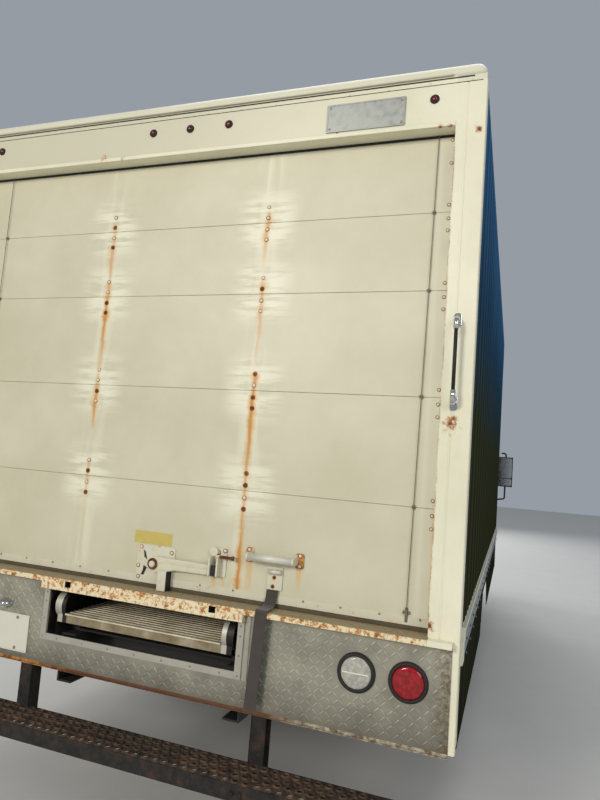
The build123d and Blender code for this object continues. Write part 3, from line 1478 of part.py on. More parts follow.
# Mirrors on arms from the cab's front corner
mirror_x = cab_half + 250.0
mirror_y = front_axle_y + 890
with BuildPart() as mirrors:
    for side in both_sides:
        slab(mirrored((cab_half, cab_half + 8), side), (mirror_y - 22, mirror_y + 18), (1230, 1390))
        with BuildLine(mode=Mode.PRIVATE) as arm:
            FilletPolyline(
                (side * (cab_half + 4), mirror_y, 1260), (side * mirror_x, mirror_y + 30, 1300),
                (side * mirror_x, mirror_y + 30, 1900), (side * (mirror_x - 60), mirror_y + 30, 1900),
                radius=28,
            )
        with BuildSketch(Plane(origin=arm.line @ 0, z_dir=arm.line % 0)):
            Circle(11.0)
        sweep(path=arm.line)
        slab(mirrored((mirror_x - 90, mirror_x + 90), side), (mirror_y - 10, mirror_y + 50), (1460, 1850))
mirrors.part.label = "mirrors"
export_step(mirrors.part, "parts/mirrors.step")
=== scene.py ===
# Looks of the box truck: aged cream paint, rust at the bolts, tread plate, side sheets with painted reflections
# The imported frame gives every place and size; the camera stands where the photograph's did
import bpy
import bmesh
import math
from functools import partial
from itertools import product
from mathutils import Matrix, Vector


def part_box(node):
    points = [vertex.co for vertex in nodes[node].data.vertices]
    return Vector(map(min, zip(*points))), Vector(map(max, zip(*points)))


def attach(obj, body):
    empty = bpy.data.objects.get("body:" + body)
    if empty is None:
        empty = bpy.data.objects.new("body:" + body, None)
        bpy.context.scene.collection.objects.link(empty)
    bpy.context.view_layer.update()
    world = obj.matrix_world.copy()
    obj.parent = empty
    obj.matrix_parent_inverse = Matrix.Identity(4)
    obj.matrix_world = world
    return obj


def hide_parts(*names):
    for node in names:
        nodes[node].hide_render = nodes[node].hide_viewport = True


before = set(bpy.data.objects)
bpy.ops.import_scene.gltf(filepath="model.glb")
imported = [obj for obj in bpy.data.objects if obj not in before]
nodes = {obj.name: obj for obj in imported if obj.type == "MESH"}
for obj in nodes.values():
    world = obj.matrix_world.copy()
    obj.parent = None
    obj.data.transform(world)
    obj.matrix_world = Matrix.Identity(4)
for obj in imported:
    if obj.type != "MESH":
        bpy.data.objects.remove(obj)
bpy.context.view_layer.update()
scene = bpy.context.scene
print("frame loaded:", len(nodes), "nodes")

# Places that many pieces share, read from the frame
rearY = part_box("rear_frame")[1].y - 0.110
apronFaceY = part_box("rear_apron")[0].y
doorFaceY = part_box("rear_door")[0].y
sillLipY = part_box("rear_frame")[0].y
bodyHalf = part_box("side_walls")[1].x
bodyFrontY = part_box("front_wall")[1].y
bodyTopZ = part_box("body_rails")[1].z
deckLineZ = 1.000
jointHeights = (1.445, 1.843, 2.240, 2.540)
boltColumns = (-0.377, 0.373)
bothSides = ((-1, "left"), (1, "right"))


def linear(hexColour):
    # sRGB hex to the linear numbers that a shader takes
    parts = [int(hexColour[i:i + 2], 16) / 255 for i in (1, 3, 5)]
    return tuple(c / 12.92 if c <= 0.04045 else ((c + 0.055) / 1.055) ** 2.4 for c in parts) + (1.0,)


# What the second word of a node's kind sets
modeOf = {"Math": "operation", "VectorMath": "operation", "Mix": "data_type", "MapRange": "interpolation_type"}


def addNode(tree, kind, *values, output=None, **settings):
    # One node; values and sockets fill its inputs in order, or by name from a dictionary; hex strings become colours
    name, _, mode = kind.partition(" ")
    node = tree.nodes.new(name if "Node" in name else "ShaderNode" + name)
    if mode:
        settings[modeOf[name]] = mode
    stops = settings.pop("stops", ())
    for key, value in settings.items():
        setattr(node, key, value)
    while stops and len(node.color_ramp.elements) < len(stops):
        node.color_ramp.elements.new(0.5)
    for index, (position, tone) in enumerate(stops):
        node.color_ramp.elements[index].position = position
        node.color_ramp.elements[index].color = linear(tone) if isinstance(tone, str) else (tone, tone, tone, 1.0)
    if values and isinstance(values[0], dict):
        pairs = [(node.inputs[key], value) for key, value in values[0].items()]
    else:
        pairs = zip([socket for socket in node.inputs if socket.enabled], values)
    for socket, value in pairs:
        if isinstance(value, bpy.types.NodeSocket):
            tree.links.new(value, socket)
        elif value is not None:
            socket.default_value = linear(value) if isinstance(value, str) and value.startswith("#") else value
    return node.outputs[output] if output else next(socket for socket in node.outputs if socket.enabled)


def newMaterial(name, settings):
    # A Principled material, a function that adds its nodes, and the Object coordinates that its patterns read
    material = bpy.data.materials.new(name)
    material.use_nodes = True
    for key, value in settings.items():
        material.node_tree.nodes["Principled BSDF"].inputs[key].default_value = value
    add = partial(addNode, material.node_tree)
    return material, add, add("TexCoord", output="Object")


def endMaterial(material, tone, relief=None, rough=None):
    # Feeds what the patterns make to the shader
    shader = material.node_tree.nodes["Principled BSDF"]
    for key, socket in (("Base Color", tone), ("Normal", relief), ("Roughness", rough)):
        if socket:
            material.node_tree.links.new(socket, shader.inputs[key])
    return material


def together(mask, *others):
    # The product of several masks
    for other in others:
        mask = addNode(mask.id_data, "Math MULTIPLY", mask, other)
    return mask


def paint(tone, colour, *masks):
    # A colour or another tone over the first one, where all the masks meet
    return addNode(tone.id_data, "Mix RGBA", together(*masks), tone, colour)


# Camera: where the photograph was taken from, in the truck's own frame
cameraSet = {
    "place": (1.364, -5.430, 1.574),
    "yaw": -19.53,
    "pitch": 5.77,
    "roll": 4.48,
    "lens": 27.53,
}


def makeCamera(settings):
    yaw, pitch, roll = (math.radians(settings[key]) for key in ("yaw", "pitch", "roll"))
    ahead = Vector((math.sin(yaw) * math.cos(pitch), math.cos(yaw) * math.cos(pitch), math.sin(pitch)))
    level = Vector((math.cos(yaw), -math.sin(yaw), 0))
    up = level.cross(ahead)
    right = level * math.cos(roll) + up * math.sin(roll)
    top = up * math.cos(roll) - level * math.sin(roll)
    data = bpy.data.cameras.new("camera")
    data.lens = settings["lens"]
    data.sensor_width = 36
    data.clip_end = 100
    camera = bpy.data.objects.new("camera", data)
    scene.collection.objects.link(camera)
    turn = Matrix((right, top, -ahead)).transposed().to_4x4()
    camera.matrix_world = Matrix.Translation(settings["place"]) @ turn
    scene.camera = camera


makeCamera(cameraSet)

# Studio: pale floor, a large soft key from the rear left, fills from the other sides
lightTable = (
    # name, place, aim, size, power
    ("key", (-5.5, -20.0, 7.4), (0.0, -3.2, 1.6), 4.0, 1600.0),
    ("fillRight", (7.0, -9.5, 5.0), (0.6, -2.0, 1.4), 4.0, 230.0),
    ("fillFront", (-2.5, 12.5, 5.5), (0.0, 2.4, 1.2), 5.0, 420.0),
    ("fillLeft", (-9.0, 4.0, 5.0), (0.0, 1.0, 1.2), 6.0, 300.0),
    ("top", (0.0, 0.0, 9.0), (0.0, 0.0, 0.0), 7.0, 260.0),
)


def makeStudio():
    bpy.ops.mesh.primitive_plane_add(size=60)
    floor = bpy.context.object
    floor.name = "studioFloor"
    material, add, place = newMaterial("pale matt studio floor", {"Roughness": 0.9})
    tone = add("Mix RGBA", add("TexNoise", place, 3.0, 3.0), "#CFCDC8", "#D8D6D1")
    floor.data.materials.append(endMaterial(material, tone))
    for name, where, aim, size, power in lightTable:
        data = bpy.data.lights.new(name, "AREA")
        data.energy = power
        data.size = size
        data.color = linear("#FFF8EC")[:3] if name == "key" else (1, 1, 1)
        lamp = bpy.data.objects.new(name, data)
        scene.collection.objects.link(lamp)
        lamp.location = where
        lamp.rotation_euler = (Vector(aim) - Vector(where)).to_track_quat("-Z", "Y").to_euler()
    world = bpy.data.worlds.new("studio")
    world.use_nodes = True
    world.node_tree.nodes["Background"].inputs["Color"].default_value = linear("#C3CCD6")
    world.node_tree.nodes["Background"].inputs["Strength"].default_value = 0.55
    scene.world = world
    scene.view_settings.view_transform = "Standard"


makeStudio()
print("camera and studio ready")

# Plain finishes: two tones blended by a mottle, a fine grain for the bump, and a spread of roughness
finishes = {}


def addFinish(name, dark, pale, smooth, coarse, metal, mottle, grain, bump):
    # Mottle and grain are feature sizes in millimetres
    material, add, place = newMaterial(name, {"Metallic": metal})
    blend = add("TexNoise", place, 1000 / mottle, 6.0)
    relief = add("Bump", bump, 0.0006, None, add("TexNoise", place, 1000 / grain, 2.0))
    rough = add("MapRange", blend, 0.3, 0.7, smooth, coarse)
    finishes[name] = endMaterial(material, add("Mix RGBA", blend, dark, pale), relief, rough)


# name, the two tones, roughness from and to, metal, mottle, grain, bump
plainFinishes = (
    # rolled channel under a brushed black coat, dusted with road dirt
    ("chassis black on rolled steel", "#1B1C1D", "#2E2C28", 0.45, 0.75, 0.0, 180, 6, 0.25),
    # forged and cast parts: grey, pitted, oily in places
    ("forged steel with road film", "#34332F", "#4B463D", 0.4, 0.7, 0.5, 90, 4, 0.35),
    # cast iron block under grey-green heat-proof enamel
    ("engine enamel on cast iron", "#4C5150", "#61645F", 0.45, 0.6, 0.0, 120, 5, 0.3),
    # spun and welded aluminium sheet, dull with fine scratches
    ("mill aluminium sheet", "#8F9192", "#A5A6A4", 0.32, 0.5, 1.0, 150, 3, 0.12),
    # injection-moulded polypropylene with a fine leather grain
    ("moulded black polypropylene", "#171819", "#222324", 0.5, 0.62, 0.0, 200, 2.5, 0.3),
    # aluminised exhaust pipe, brown where it has been hot
    ("aluminised steel pipe", "#6E665B", "#8B8375", 0.4, 0.65, 0.8, 120, 5, 0.2),
    # sprayed acrylic on the cab, cream white like the body, glossy
    ("cab acrylic, cream white", "#DEDBC9", "#E6E3D2", 0.14, 0.22, 0.0, 400, 9, 0.03),
    # electro-coated pressed wheel in off-white, dusty in the dishes
    ("wheel enamel on pressed steel", "#BDB9AB", "#D8D5C8", 0.35, 0.6, 0.0, 60, 4, 0.12),
    # stranded galvanised wire, dark with dirt
    ("galvanised wire rope", "#6A6252", "#8A8270", 0.4, 0.6, 0.7, 20, 1.5, 0.4),
    # roof skin of one aluminium sheet, chalky from the weather
    ("chalky roof aluminium", "#A7A89F", "#BDBCB2", 0.5, 0.7, 0.3, 500, 12, 0.08),
    # retro-reflective blank plate, worn at its face
    ("blank plate enamel", "#CFCDBF", "#DAD8CA", 0.3, 0.4, 0.0, 60, 2, 0.04),
    # bright plated steel
    ("chrome plate", "#C4C6C8", "#D2D3D3", 0.08, 0.16, 1.0, 40, 2, 0.02),
    # rubber seals and grommets, extruded, chalking a little
    ("extruded black rubber", "#131313", "#1E1D1B", 0.55, 0.75, 0.0, 60, 2, 0.2),
    # zinc-plated nuts and washers, dulled
    ("zinc-plated hardware", "#7E7A70", "#9A968B", 0.35, 0.55, 0.9, 15, 1.2, 0.15),
    # rubber door seal under road dirt
    ("rubber seal under road dirt", "#3A3226", "#6B5D45", 0.7, 0.9, 0.0, 30, 3, 0.3),
    # painted aluminium angle round the ramp's slot, greyed
    ("greyed paint on aluminium angle", "#98958A", "#B3B0A2", 0.35, 0.55, 0.1, 60, 3, 0.1),
    # printed metal foil, washed out to silver blue
    ("anodised foil plate, faded", "#84898A", "#A9ABA2", 0.3, 0.5, 0.55, 22, 2, 0.1),
    # vinyl film, chalked yellow
    ("chalked yellow vinyl film", "#B5A44C", "#CDBB6A", 0.5, 0.7, 0.0, 18, 2, 0.1),
    # bright zinc tube, chalky where hands keep off it
    ("zinc-plated tube", "#C6C3B2", "#DAD7C8", 0.36, 0.5, 0.2, 40, 2, 0.08),
)
for row in plainFinishes:
    addFinish(*row)


def nearPoint(place, point, inner, outer, ragged=None):
    # A mask that is 1 within the inner distance of a point and 0 past the outer one
    add = partial(addNode, place.id_data)
    away = add("VectorMath DISTANCE", place, point)
    if ragged is not None:
        away = add("Math MULTIPLY_ADD", ragged, -outer, away)
    return add("MapRange SMOOTHSTEP", away, outer, inner)


# Roll-up door: sun-yellowed enamel on plywood panels, rust below the bolts, pale scrub marks round them
# The streak stops run from the door's foot (0) to its head (1), read off the photograph
doorLook = {
    "tones": ("#C4BFA4", "#CFCBB2"),
    "washed": "#E6E3CC",
    "rust": ("#D9A242", "#B4701C"),
    "smudge": "#4A463C",
    "crust": "#8A4A18",
    "foot": 1.020,
    "head": 2.868,
    "runs": (
        # x, height it starts at, length, half width
        (0.418, 1.185, 0.16, 0.020), (0.622, 1.185, 0.10, 0.014), (0.312, 1.150, 0.11, 0.011),
        (0.272, 1.104, 0.07, 0.012), (0.040, 1.060, 0.05, 0.012), (1.106, 1.46, 0.60, 0.010),
    ),
    "streaks": (
        ((0.0, 0.0), (0.1, 0.1), (0.185, 0.15), (0.19, 0.35), (0.26, 0.4), (0.27, 0.0), (0.335, 0.0), (0.35, 0.5),
         (0.4, 0.9), (0.43, 0.75), (0.48, 0.2), (0.52, 0.5), (0.6, 1.0), (0.64, 0.95), (0.695, 0.5), (0.7, 0.3),
         (0.72, 0.6), (0.78, 0.9), (0.84, 0.75), (0.85, 0.0)),
        ((0.0, 0.6), (0.02, 1.0), (0.12, 1.0), (0.18, 0.9), (0.22, 1.0), (0.27, 0.75), (0.31, 1.0), (0.36, 1.0),
         (0.4, 1.0), (0.45, 0.9), (0.48, 0.8), (0.49, 0.0), (0.53, 0.25), (0.6, 0.55), (0.62, 0.8), (0.68, 0.75),
         (0.7, 0.0), (0.755, 0.3), (0.78, 0.6), (0.8, 0.7), (0.845, 0.65), (0.85, 0.0)),
    ),
}


# the cables lean out towards the head of the door: X at the anchor and at the header, left and right
cableFoot, cableHead = 1.095, 2.842
cableLeans = ((-0.985, -0.995), (1.031, 1.051))


def makeDoorEnamel(look):
    material, add, place = newMaterial("sun-yellowed enamel on plywood panels", {"Roughness": 0.42})
    across, depth, height = add("SeparateXYZ", place).node.outputs
    tone = add("Mix RGBA", add("MapRange", add("TexNoise", place, 2.2, 6.0, 0.62), 0.35, 0.65), *look["tones"])
    fromFoot = add("MapRange", height, look["foot"], look["head"])
    # brush strokes: long across, short up and down
    strokes = add("TexNoise", add("Mapping", place, None, (0, 0.12, 0), (5.0, 1.0, 38.0)), 1.0, 4.0, 0.6)
    drips = add("TexNoise", add("Mapping", place, None, None, (26.0, 1.0, 2.6)), 1.0, 3.0)
    wobble = add("TexNoise", place, 9.0, 2.0)
    swell = add("TexNoise", add("Mapping", place, None, None, (8.0, 1.0, 16.0)), 1.0, 4.0, 0.65)
    swell = add("MapRange", swell, 0.35, 0.65, 0.75, 2.1)
    for column, stops in zip(boltColumns, look["streaks"]):
        offset = add("Math SUBTRACT", across, column)
        away = add("Math ABSOLUTE", offset)
        # scrubbed halo round each group of four bolts
        halo = add("MapRange SMOOTHSTEP", away, 0.16, 0.05)
        groups = None
        for joint in jointHeights:
            reach = add("Math ABSOLUTE", add("Math SUBTRACT", height, joint + 0.01))
            band = add("MapRange SMOOTHSTEP", reach, 0.17, 0.05)
            groups = band if groups is None else add("Math MAXIMUM", groups, band)
        tone = paint(tone, look["washed"], add("MapRange", strokes, 0.4, 0.56, 0.0, 0.9), halo, groups)
        # pale runs below the groups
        run = add("MapRange SMOOTHSTEP", away, 0.075, 0.02, 0.0, 0.45)
        tone = paint(tone, look["washed"], run, add("MapRange", drips, 0.42, 0.6))
        # rust that has run down from the bolts
        bent = add("Math ABSOLUTE", add("Math ADD", offset, add("Math MULTIPLY_ADD", wobble, 0.022, -0.011)))
        bent = together(bent, swell)
        strength = add("ValToRGB", fromFoot, stops=stops)
        for width, colour, most in ((0.030, look["rust"][0], 0.75), (0.013, look["rust"][1], 0.75)):
            core = add("MapRange SMOOTHSTEP", bent, width, width * 0.3, 0.0, most)
            tone = paint(tone, colour, core, strength, add("MapRange", drips, 0.3, 0.6, 0.3))
    for x, top, length, width in look["runs"]:
        offset = add("Math ABSOLUTE", add("Math SUBTRACT", across, x))
        core = add("MapRange SMOOTHSTEP", offset, width, width * 0.3, 0.0, 0.85)
        under = add("Math LESS_THAN", height, top)
        fade = add("MapRange", height, top - length, top)
        tone = paint(tone, look["rust"][0], core, under, fade, add("MapRange", drips, 0.3, 0.5))
    # washed strip between the right cable and the pillar
    strip = add("MapRange", across, 1.045, 1.065, 0.0, 0.5)
    tone = paint(tone, look["washed"], strip)
    # grease where the cables rub at each panel joint
    for joint in jointHeights:
        for foot, head in cableLeans:
            x = foot + (head - foot) * (joint - cableFoot) / (cableHead - cableFoot)
            rub = add("Math MULTIPLY", nearPoint(place, (x, doorFaceY, joint), 0.002, 0.008, drips), 0.5)
            tone = paint(tone, look["smudge"], rub)
    # rust that bleeds out along the pillars' edge
    edge = add("MapRange", add("Math ABSOLUTE", across), 1.103, 1.113)
    bleed = add("MapRange", add("TexNoise", place, 14.0, 5.0, 0.7), 0.47, 0.58, 0.0, 0.9)
    tone = paint(tone, look["crust"], edge, bleed)
    # plywood figure shows through the paint as a faint relief 4 mm across and long up the panel
    figure = add("TexNoise", add("Mapping", place, None, None, (250.0, 1.0, 12.0)), 1.0, 3.0)
    relief = add("Bump", 0.25, 0.0006, None, figure)
    relief = add("Bump", 0.5, 0.004, None, add("TexNoise", place, 3.5, 1.0), relief)
    return endMaterial(material, tone, relief)


finishes["door enamel"] = makeDoorEnamel(doorLook)
print("door enamel ready")

# Rear frame: cream enamel on steel, with rust spots at hand, and a sill where the paint has gone
frameLook = {
    "tones": ("#DEDABF", "#E9E5CC"),
    "dull": "#C9C5AC",
    "rust": ("#B5783A", "#6B3815"),
    "sill": ("#E6D9B6", "#C08542", "#74401C"),
    "ledge": ("#A0906F", "#6A5E48"),
    "spots": (
        # x, height, radius
        (1.152, 1.745, 0.034), (1.165, 1.765, 0.02), (1.199, 2.821, 0.018), (1.118, 1.060, 0.022),
        (-0.43, 2.862, 0.02), (-0.33, 2.852, 0.014), (1.096, 2.843, 0.014), (1.060, 2.843, 0.012),
        (0.66, 2.866, 0.010), (0.85, 2.850, 0.008),
    ),
    "slotMiddle": -0.012,
    "slotReach": 0.4352,
    "ledgeZ": 1.0196,
    "slots": (-0.340, 0.322),
    "slotHalf": (0.0145, 0.0125),
    "sillZ": (0.968, 1.0215),
}


def makeFrameEnamel(look):
    material, add, place = newMaterial("cream enamel on the rear frame", {})
    across, depth, height = add("SeparateXYZ", place).node.outputs
    tone = add("Mix RGBA", add("MapRange", add("TexNoise", place, 3.0, 6.0, 0.6), 0.35, 0.65), *look["tones"])
    # the header is duller away from the corner that the rain reaches
    dull = add("MapRange", across, 1.05, 0.0, 0.0, 0.85)
    tone = paint(tone, look["dull"], dull, add("Math GREATER_THAN", height, 2.862))
    ragged = add("MapRange", add("TexNoise", place, 60.0, 5.0, 0.7), 0.35, 0.7, -0.6, 0.7)
    for x, z, radius in look["spots"]:
        tone = paint(tone, look["rust"][0], nearPoint(place, (x, rearY, z), radius * 0.1, radius, ragged))
        tone = paint(tone, look["rust"][1], nearPoint(place, (x, rearY, z), 0.0, radius * 0.55, ragged))
    # rust line where the pillars meet the door
    edge = add("MapRange", add("Math ABSOLUTE", across), 1.1195, 1.1145)
    inOpening = add("Math LESS_THAN", height, 2.83)
    crust = add("MapRange", add("TexNoise", place, 11.0, 6.0, 0.75), 0.45, 0.6)
    tone = paint(tone, look["rust"][1], edge, inOpening, crust)
    # sill: paint left in islands, orange at their edges, brown scale between
    flake = add("TexNoise", place, 44.0, 8.0, 0.72)
    flake = add("Math ADD", flake, add("MapRange", height, deckLineZ - 0.028, deckLineZ + 0.02, 0.0, 0.05))
    sill = add("ValToRGB", flake, stops=((0.51, look["sill"][0]), (0.59, look["sill"][1]), (0.68, look["sill"][2])))
    ledge = add("Mix RGBA", ragged, *look["ledge"])
    sill = paint(sill, ledge, add("Math GREATER_THAN", height, look["ledgeZ"]))
    # the two pin slots in the sill are painted near black inside: painted shade in the holes
    inSlot = add("Math GREATER_THAN", depth, rearY - 0.0345)
    for x in look["slots"]:
        aside = add("Math ABSOLUTE", add("Math SUBTRACT", across, x))
        aside = add("Math LESS_THAN", aside, look["slotHalf"][0])
        rise = add("Math ABSOLUTE", add("Math SUBTRACT", height, deckLineZ))
        rise = add("Math LESS_THAN", rise, look["slotHalf"][1])
        sill = paint(sill, "#0A0908", inSlot, aside, rise)
    low = add("Math GREATER_THAN", height, look["sillZ"][0])
    high = add("Math LESS_THAN", height, look["sillZ"][1])
    ahead = add("Math LESS_THAN", depth, doorFaceY + 0.002)
    inner = add("Math ABSOLUTE", across)
    worn = add("Math LESS_THAN", inner, 1.118)
    inner = add("Math LESS_THAN", inner, 1.2)
    isSill = together(low, high, ahead, worn)
    tone = paint(tone, sill, isSill)
    # the rail under the apron is bare rusty steel
    isRail = together(add("Math LESS_THAN", height, 0.714), inner)
    rail = add("Mix RGBA", flake, "#3A2A1E", "#7A4A26")
    for start, end, colour in ((-0.30, -0.48, look["sill"][1]), (0.55, 0.72, "#B8B29A")):
        worn = add("MapRange", across, start, end, 0.0, 0.9)
        left = add("MapRange", flake, 0.44, 0.56, 0.15)
        rail = paint(rail, colour, worn, left)
    tone = paint(tone, rail, isRail)
    # the inside of the ramp's slot, behind the rear face and below the sill, is painted near black: painted shade
    inSlot = add("Math ABSOLUTE", add("Math ADD", across, -look["slotMiddle"]))
    inSlot = add("Math LESS_THAN", inSlot, look["slotReach"])
    tone = paint(tone, "#15130F", inSlot, add("Math GREATER_THAN", depth, rearY + 0.001),
                 add("Math LESS_THAN", height, 0.975))
    rough = add("MapRange", isSill, 0.0, 1.0, 0.32, 0.85)
    return endMaterial(material, tone, add("Bump", 0.35, 0.0012, None, flake), rough)


finishes["frame enamel"] = makeFrameEnamel(frameLook)


# Roof and rub rails: aluminium extrusions under cream enamel, darker at the roof rail's foot, and the rub rail painted
# grey-blue as painted shade
def makeRailEnamel():
    material, add, place = newMaterial("cream enamel on extruded rail", {"Roughness": 0.34})
    across, depth, height = add("SeparateXYZ", place).node.outputs
    tone = add("Mix RGBA", add("TexNoise", place, 4.0, 6.0), "#D2CFB6", "#E2DFCA")
    # darker towards the rail's foot: a painted shadow line under the roof rail
    foot = add("MapRange", height, bodyTopZ - 0.046, bodyTopZ - 0.06, 0.0, 0.5)
    tone = paint(tone, "#8F8A72", foot, add("Math GREATER_THAN", height, 3.036))
    # the rub rail is painted grey-blue: painted shade, the cream rail as it looks in shade under a blue sky
    bare = add("Math GREATER_THAN", add("Math ABSOLUTE", across), bodyHalf - 0.002)
    tone = paint(tone, "#55626E", bare, add("Math GREATER_THAN", depth, rearY + 0.142),
                 add("Math LESS_THAN", height, 1.03))
    return endMaterial(material, tone, add("Bump", 0.12, 0.0005, None, add("TexNoise", place, 160.0, 2.0)))


finishes["rail enamel"] = makeRailEnamel()


# Side sheets: dark pre-painted panels with painted reflection, sky blue above and olive ground towards the road, and
# painted shade at each 203 mm rib
def makeSideSheetWithPaintedReflection():
    material, add, place = newMaterial("glossy pre-painted side sheet", {"Roughness": 0.3, "Specular IOR Level": 0.0})
    across, depth, height = add("SeparateXYZ", place).node.outputs
    # the height gradient, deep blue above and olive below, is painted reflection of sky and ground; the specular is off
    level = add("Math ADD", height, add("Math MULTIPLY_ADD", add("TexNoise", place, 1.6, 5.0), 0.5, -0.25))
    level = add("MapRange", level, 0.6, 3.0)
    tone = add("ValToRGB", level, stops=((0.0, "#2C2C20"), (0.22, "#3A3A29"), (0.48, "#3A3E2C"),
                                         (0.72, "#2D4A62"), (1.0, "#3E6A94")))
    # painted shade at every rib, standing in for the reflection of the skin bowing between its fixings
    ribs = add("Math SINE", add("Math MULTIPLY", depth, 2 * math.pi / 0.203))
    shade = add("MapRange", ribs, 0.0, 1.0, 0.0, 0.55)
    tone = paint(tone, "#0D1010", shade)
    return endMaterial(material, tone, add("Bump", 0.6, 0.0012, None, ribs))


finishes["side sheet"] = makeSideSheetWithPaintedReflection()


# Tread plate: rolled aluminium, greyed and greasy between the lugs, bright where shoes rub
def makeTreadPlate(name, tones, rough):
    material, add, place = newMaterial(name, {"Metallic": 0.55})
    across, depth, height = add("SeparateXYZ", place).node.outputs
    stain = add("MapRange", add("TexNoise", place, 7.0, 7.0, 0.65), 0.35, 0.65)
    tone = add("Mix RGBA", stain, *tones)
    # darker towards the apron's foot
    tone = paint(tone, "#4A4538", add("MapRange", height, 0.76, 0.66, 0.0, 0.55))
    edge = add("MapRange", across, 1.13, 1.19)
    speck = add("MapRange", add("TexNoise", place, 70.0, 4.0, 0.7), 0.42, 0.58, 0.0, 0.9)
    tone = paint(tone, "#6B5A3E", edge, speck)
    scratch = add("TexNoise", add("Mapping", place, None, (0, 0.5, 0), (30.0, 1.0, 700.0)), 1.0, 2.0)
    shine = add("MapRange", stain, 0.35, 0.65, *rough)
    return endMaterial(material, tone, add("Bump", 0.2, 0.0004, None, scratch), shine)


finishes["tread plate"] = makeTreadPlate("rolled aluminium tread plate", ("#8A877A", "#A3A092"), (0.4, 0.58))
finishes["tread lugs"] = makeTreadPlate("rubbed lugs of the tread plate", ("#969486", "#AEAB9C"), (0.36, 0.5))


# Rust in depth: scale, pits and a little of the old paint
def makeRust(name, stops, rough):
    material, add, place = newMaterial(name, {"Roughness": rough})
    scale = add("TexNoise", place, 26.0, 9.0, 0.7)
    tone = add("ValToRGB", scale, stops=stops)
    return endMaterial(material, tone, add("Bump", 0.6, 0.0012, None, scale))


# the step's tones are rust and black paint, darkened further as painted shade
finishes["step rust with painted shade"] = makeRust("rusted step under worn black paint, with painted shade",
                                 ((0.38, "#101111"), (0.5, "#1E1B18"), (0.6, "#33261C"), (0.72, "#4E3120")), 0.8)
finishes["tread rust"] = makeRust("rusted tread where shoes keep it bare",
                                  ((0.38, "#2A221D"), (0.5, "#473729"), (0.62, "#624C39"), (0.72, "#715742")), 0.75)
finishes["bolt rust"] = makeRust("rusted zinc washer", ((0.35, "#542A10"), (0.5, "#8E501C"), (0.62, "#BC7E36")), 0.75)
finishes["dark bolt rust"] = makeRust("scaled bolt head", ((0.35, "#3A1E10"), (0.5, "#5E3216"), (0.62, "#8A5226")), 0.8)
finishes["latch zinc"] = makeRust("painted-over zinc latch with rust at its edges",
                                  ((0.3, "#D5D1BD"), (0.6, "#CFCAB2"), (0.68, "#B98044"), (0.76, "#6E3A16")), 0.45)


# Ramp aluminium: extruded deck, brown with dust in its valleys
def makeRampAluminium(name, tones, caps=None):
    material, add, place = newMaterial(name, {"Metallic": 0.4, "Roughness": 0.5})
    stain = add("TexNoise", place, 9.0, 6.0, 0.65)
    tone = add("ValToRGB", stain, stops=tones)
    if caps:
        # end caps: a pale rim on the left of each, and painted shade in the hollow and over the rest, where the cap's
        # outer face lies in shadow
        across, depth, height = add("SeparateXYZ", place).node.outputs
        ends = add("Math GREATER_THAN", add("Math ABSOLUTE", add("Math ADD", across, 0.018)), caps["inner"])
        tone = paint(tone, caps["rim"], ends)
        behind = add("Math MINIMUM", add("Math SUBTRACT", depth, caps["centre"][0]), 0.0)
        reach = add("CombineXYZ", behind, add("Math SUBTRACT", height, caps["centre"][1]))
        reach = add("VectorMath LENGTH", reach)
        hollow = add("Math LESS_THAN", reach, caps["hollow"])
        right = add("Math GREATER_THAN", across, caps["dark"][1])
        left = together(add("Math GREATER_THAN", across, caps["dark"][0][0]),
                        add("Math LESS_THAN", across, caps["dark"][0][1]))
        hollow = together(hollow, ends)
        for part in (left, right):
            hollow = add("Math MAXIMUM", hollow, part)
        tone = paint(tone, caps["dirt"], hollow)
    return endMaterial(material, tone, add("Bump", 0.15, 0.0006, None, stain))


# the caps' dark tone, kept under the key dirt, is painted shade
finishes["ramp aluminium"] = makeRampAluminium("ramp aluminium, dull and dusty",
                                               ((0.35, "#7B6E55"), (0.5, "#968970"), (0.65, "#B0A68E")),
                                               {"inner": 0.3615, "rim": "#BDBAAE", "centre": (-3.183, 0.895),
                                                "hollow": 0.055, "dark": ((-0.400, -0.3795), 0.366),
                                                "dirt": "#26221D"})
# the ridges' pale tones are wear and a painted highlight, standing in for grazing light on their tops
finishes["ramp ridges"] = makeRampAluminium("rubbed ridges of the ramp, with painted highlight",
                                            ((0.35, "#BFB49A"), (0.5, "#D6CCB4"), (0.65, "#E6DDC8")))


# Deck: laminated hardwood boards 38 mm wide, worn and oiled
def makeDeckWood():
    material, add, place = newMaterial("laminated hardwood deck", {"Roughness": 0.6})
    turned = add("Mapping", place, None, (0, 0, math.pi / 2))
    boards = add("TexBrick", {"Vector": turned, "Scale": 1.0, "Color1": "#7A5C3C", "Color2": "#94714B",
                              "Mortar": "#3A2A1B", "Brick Width": 1.8, "Row Height": 0.038, "Mortar Size": 0.0012},
                 offset=0.37)
    grain = add("TexNoise", add("Mapping", place, None, None, (180.0, 9.0, 30.0)), 1.0, 4.0)
    tone = add("Mix RGBA", 0.5, boards, add("MapRange", grain, 0.0, 1.0, 0.55, 1.1), blend_type="MULTIPLY")
    return endMaterial(material, tone, add("Bump", 0.2, 0.0008, None, grain))


finishes["deck wood"] = makeDeckWood()


# Glass and lenses: tempered glass has a faint green tint; acrylic lenses are solid colour with depth
def makeClear(name, tint, rough, transmission, facet=0):
    material, add, place = newMaterial(name, {"Roughness": rough, "IOR": 1.5, "Transmission Weight": transmission})
    film = add("MapRange", add("TexNoise", place, 12.0, 4.0), 0.3, 0.7, 0.0, 1.0)
    if facet:
        # moulded facets on the inner face, seen through the lens
        film = add("MapRange", add("TexVoronoi", place, 1000 / facet), 0.1, 0.75)
    tone = add("Mix RGBA", film, *tint)
    return endMaterial(material, tone)


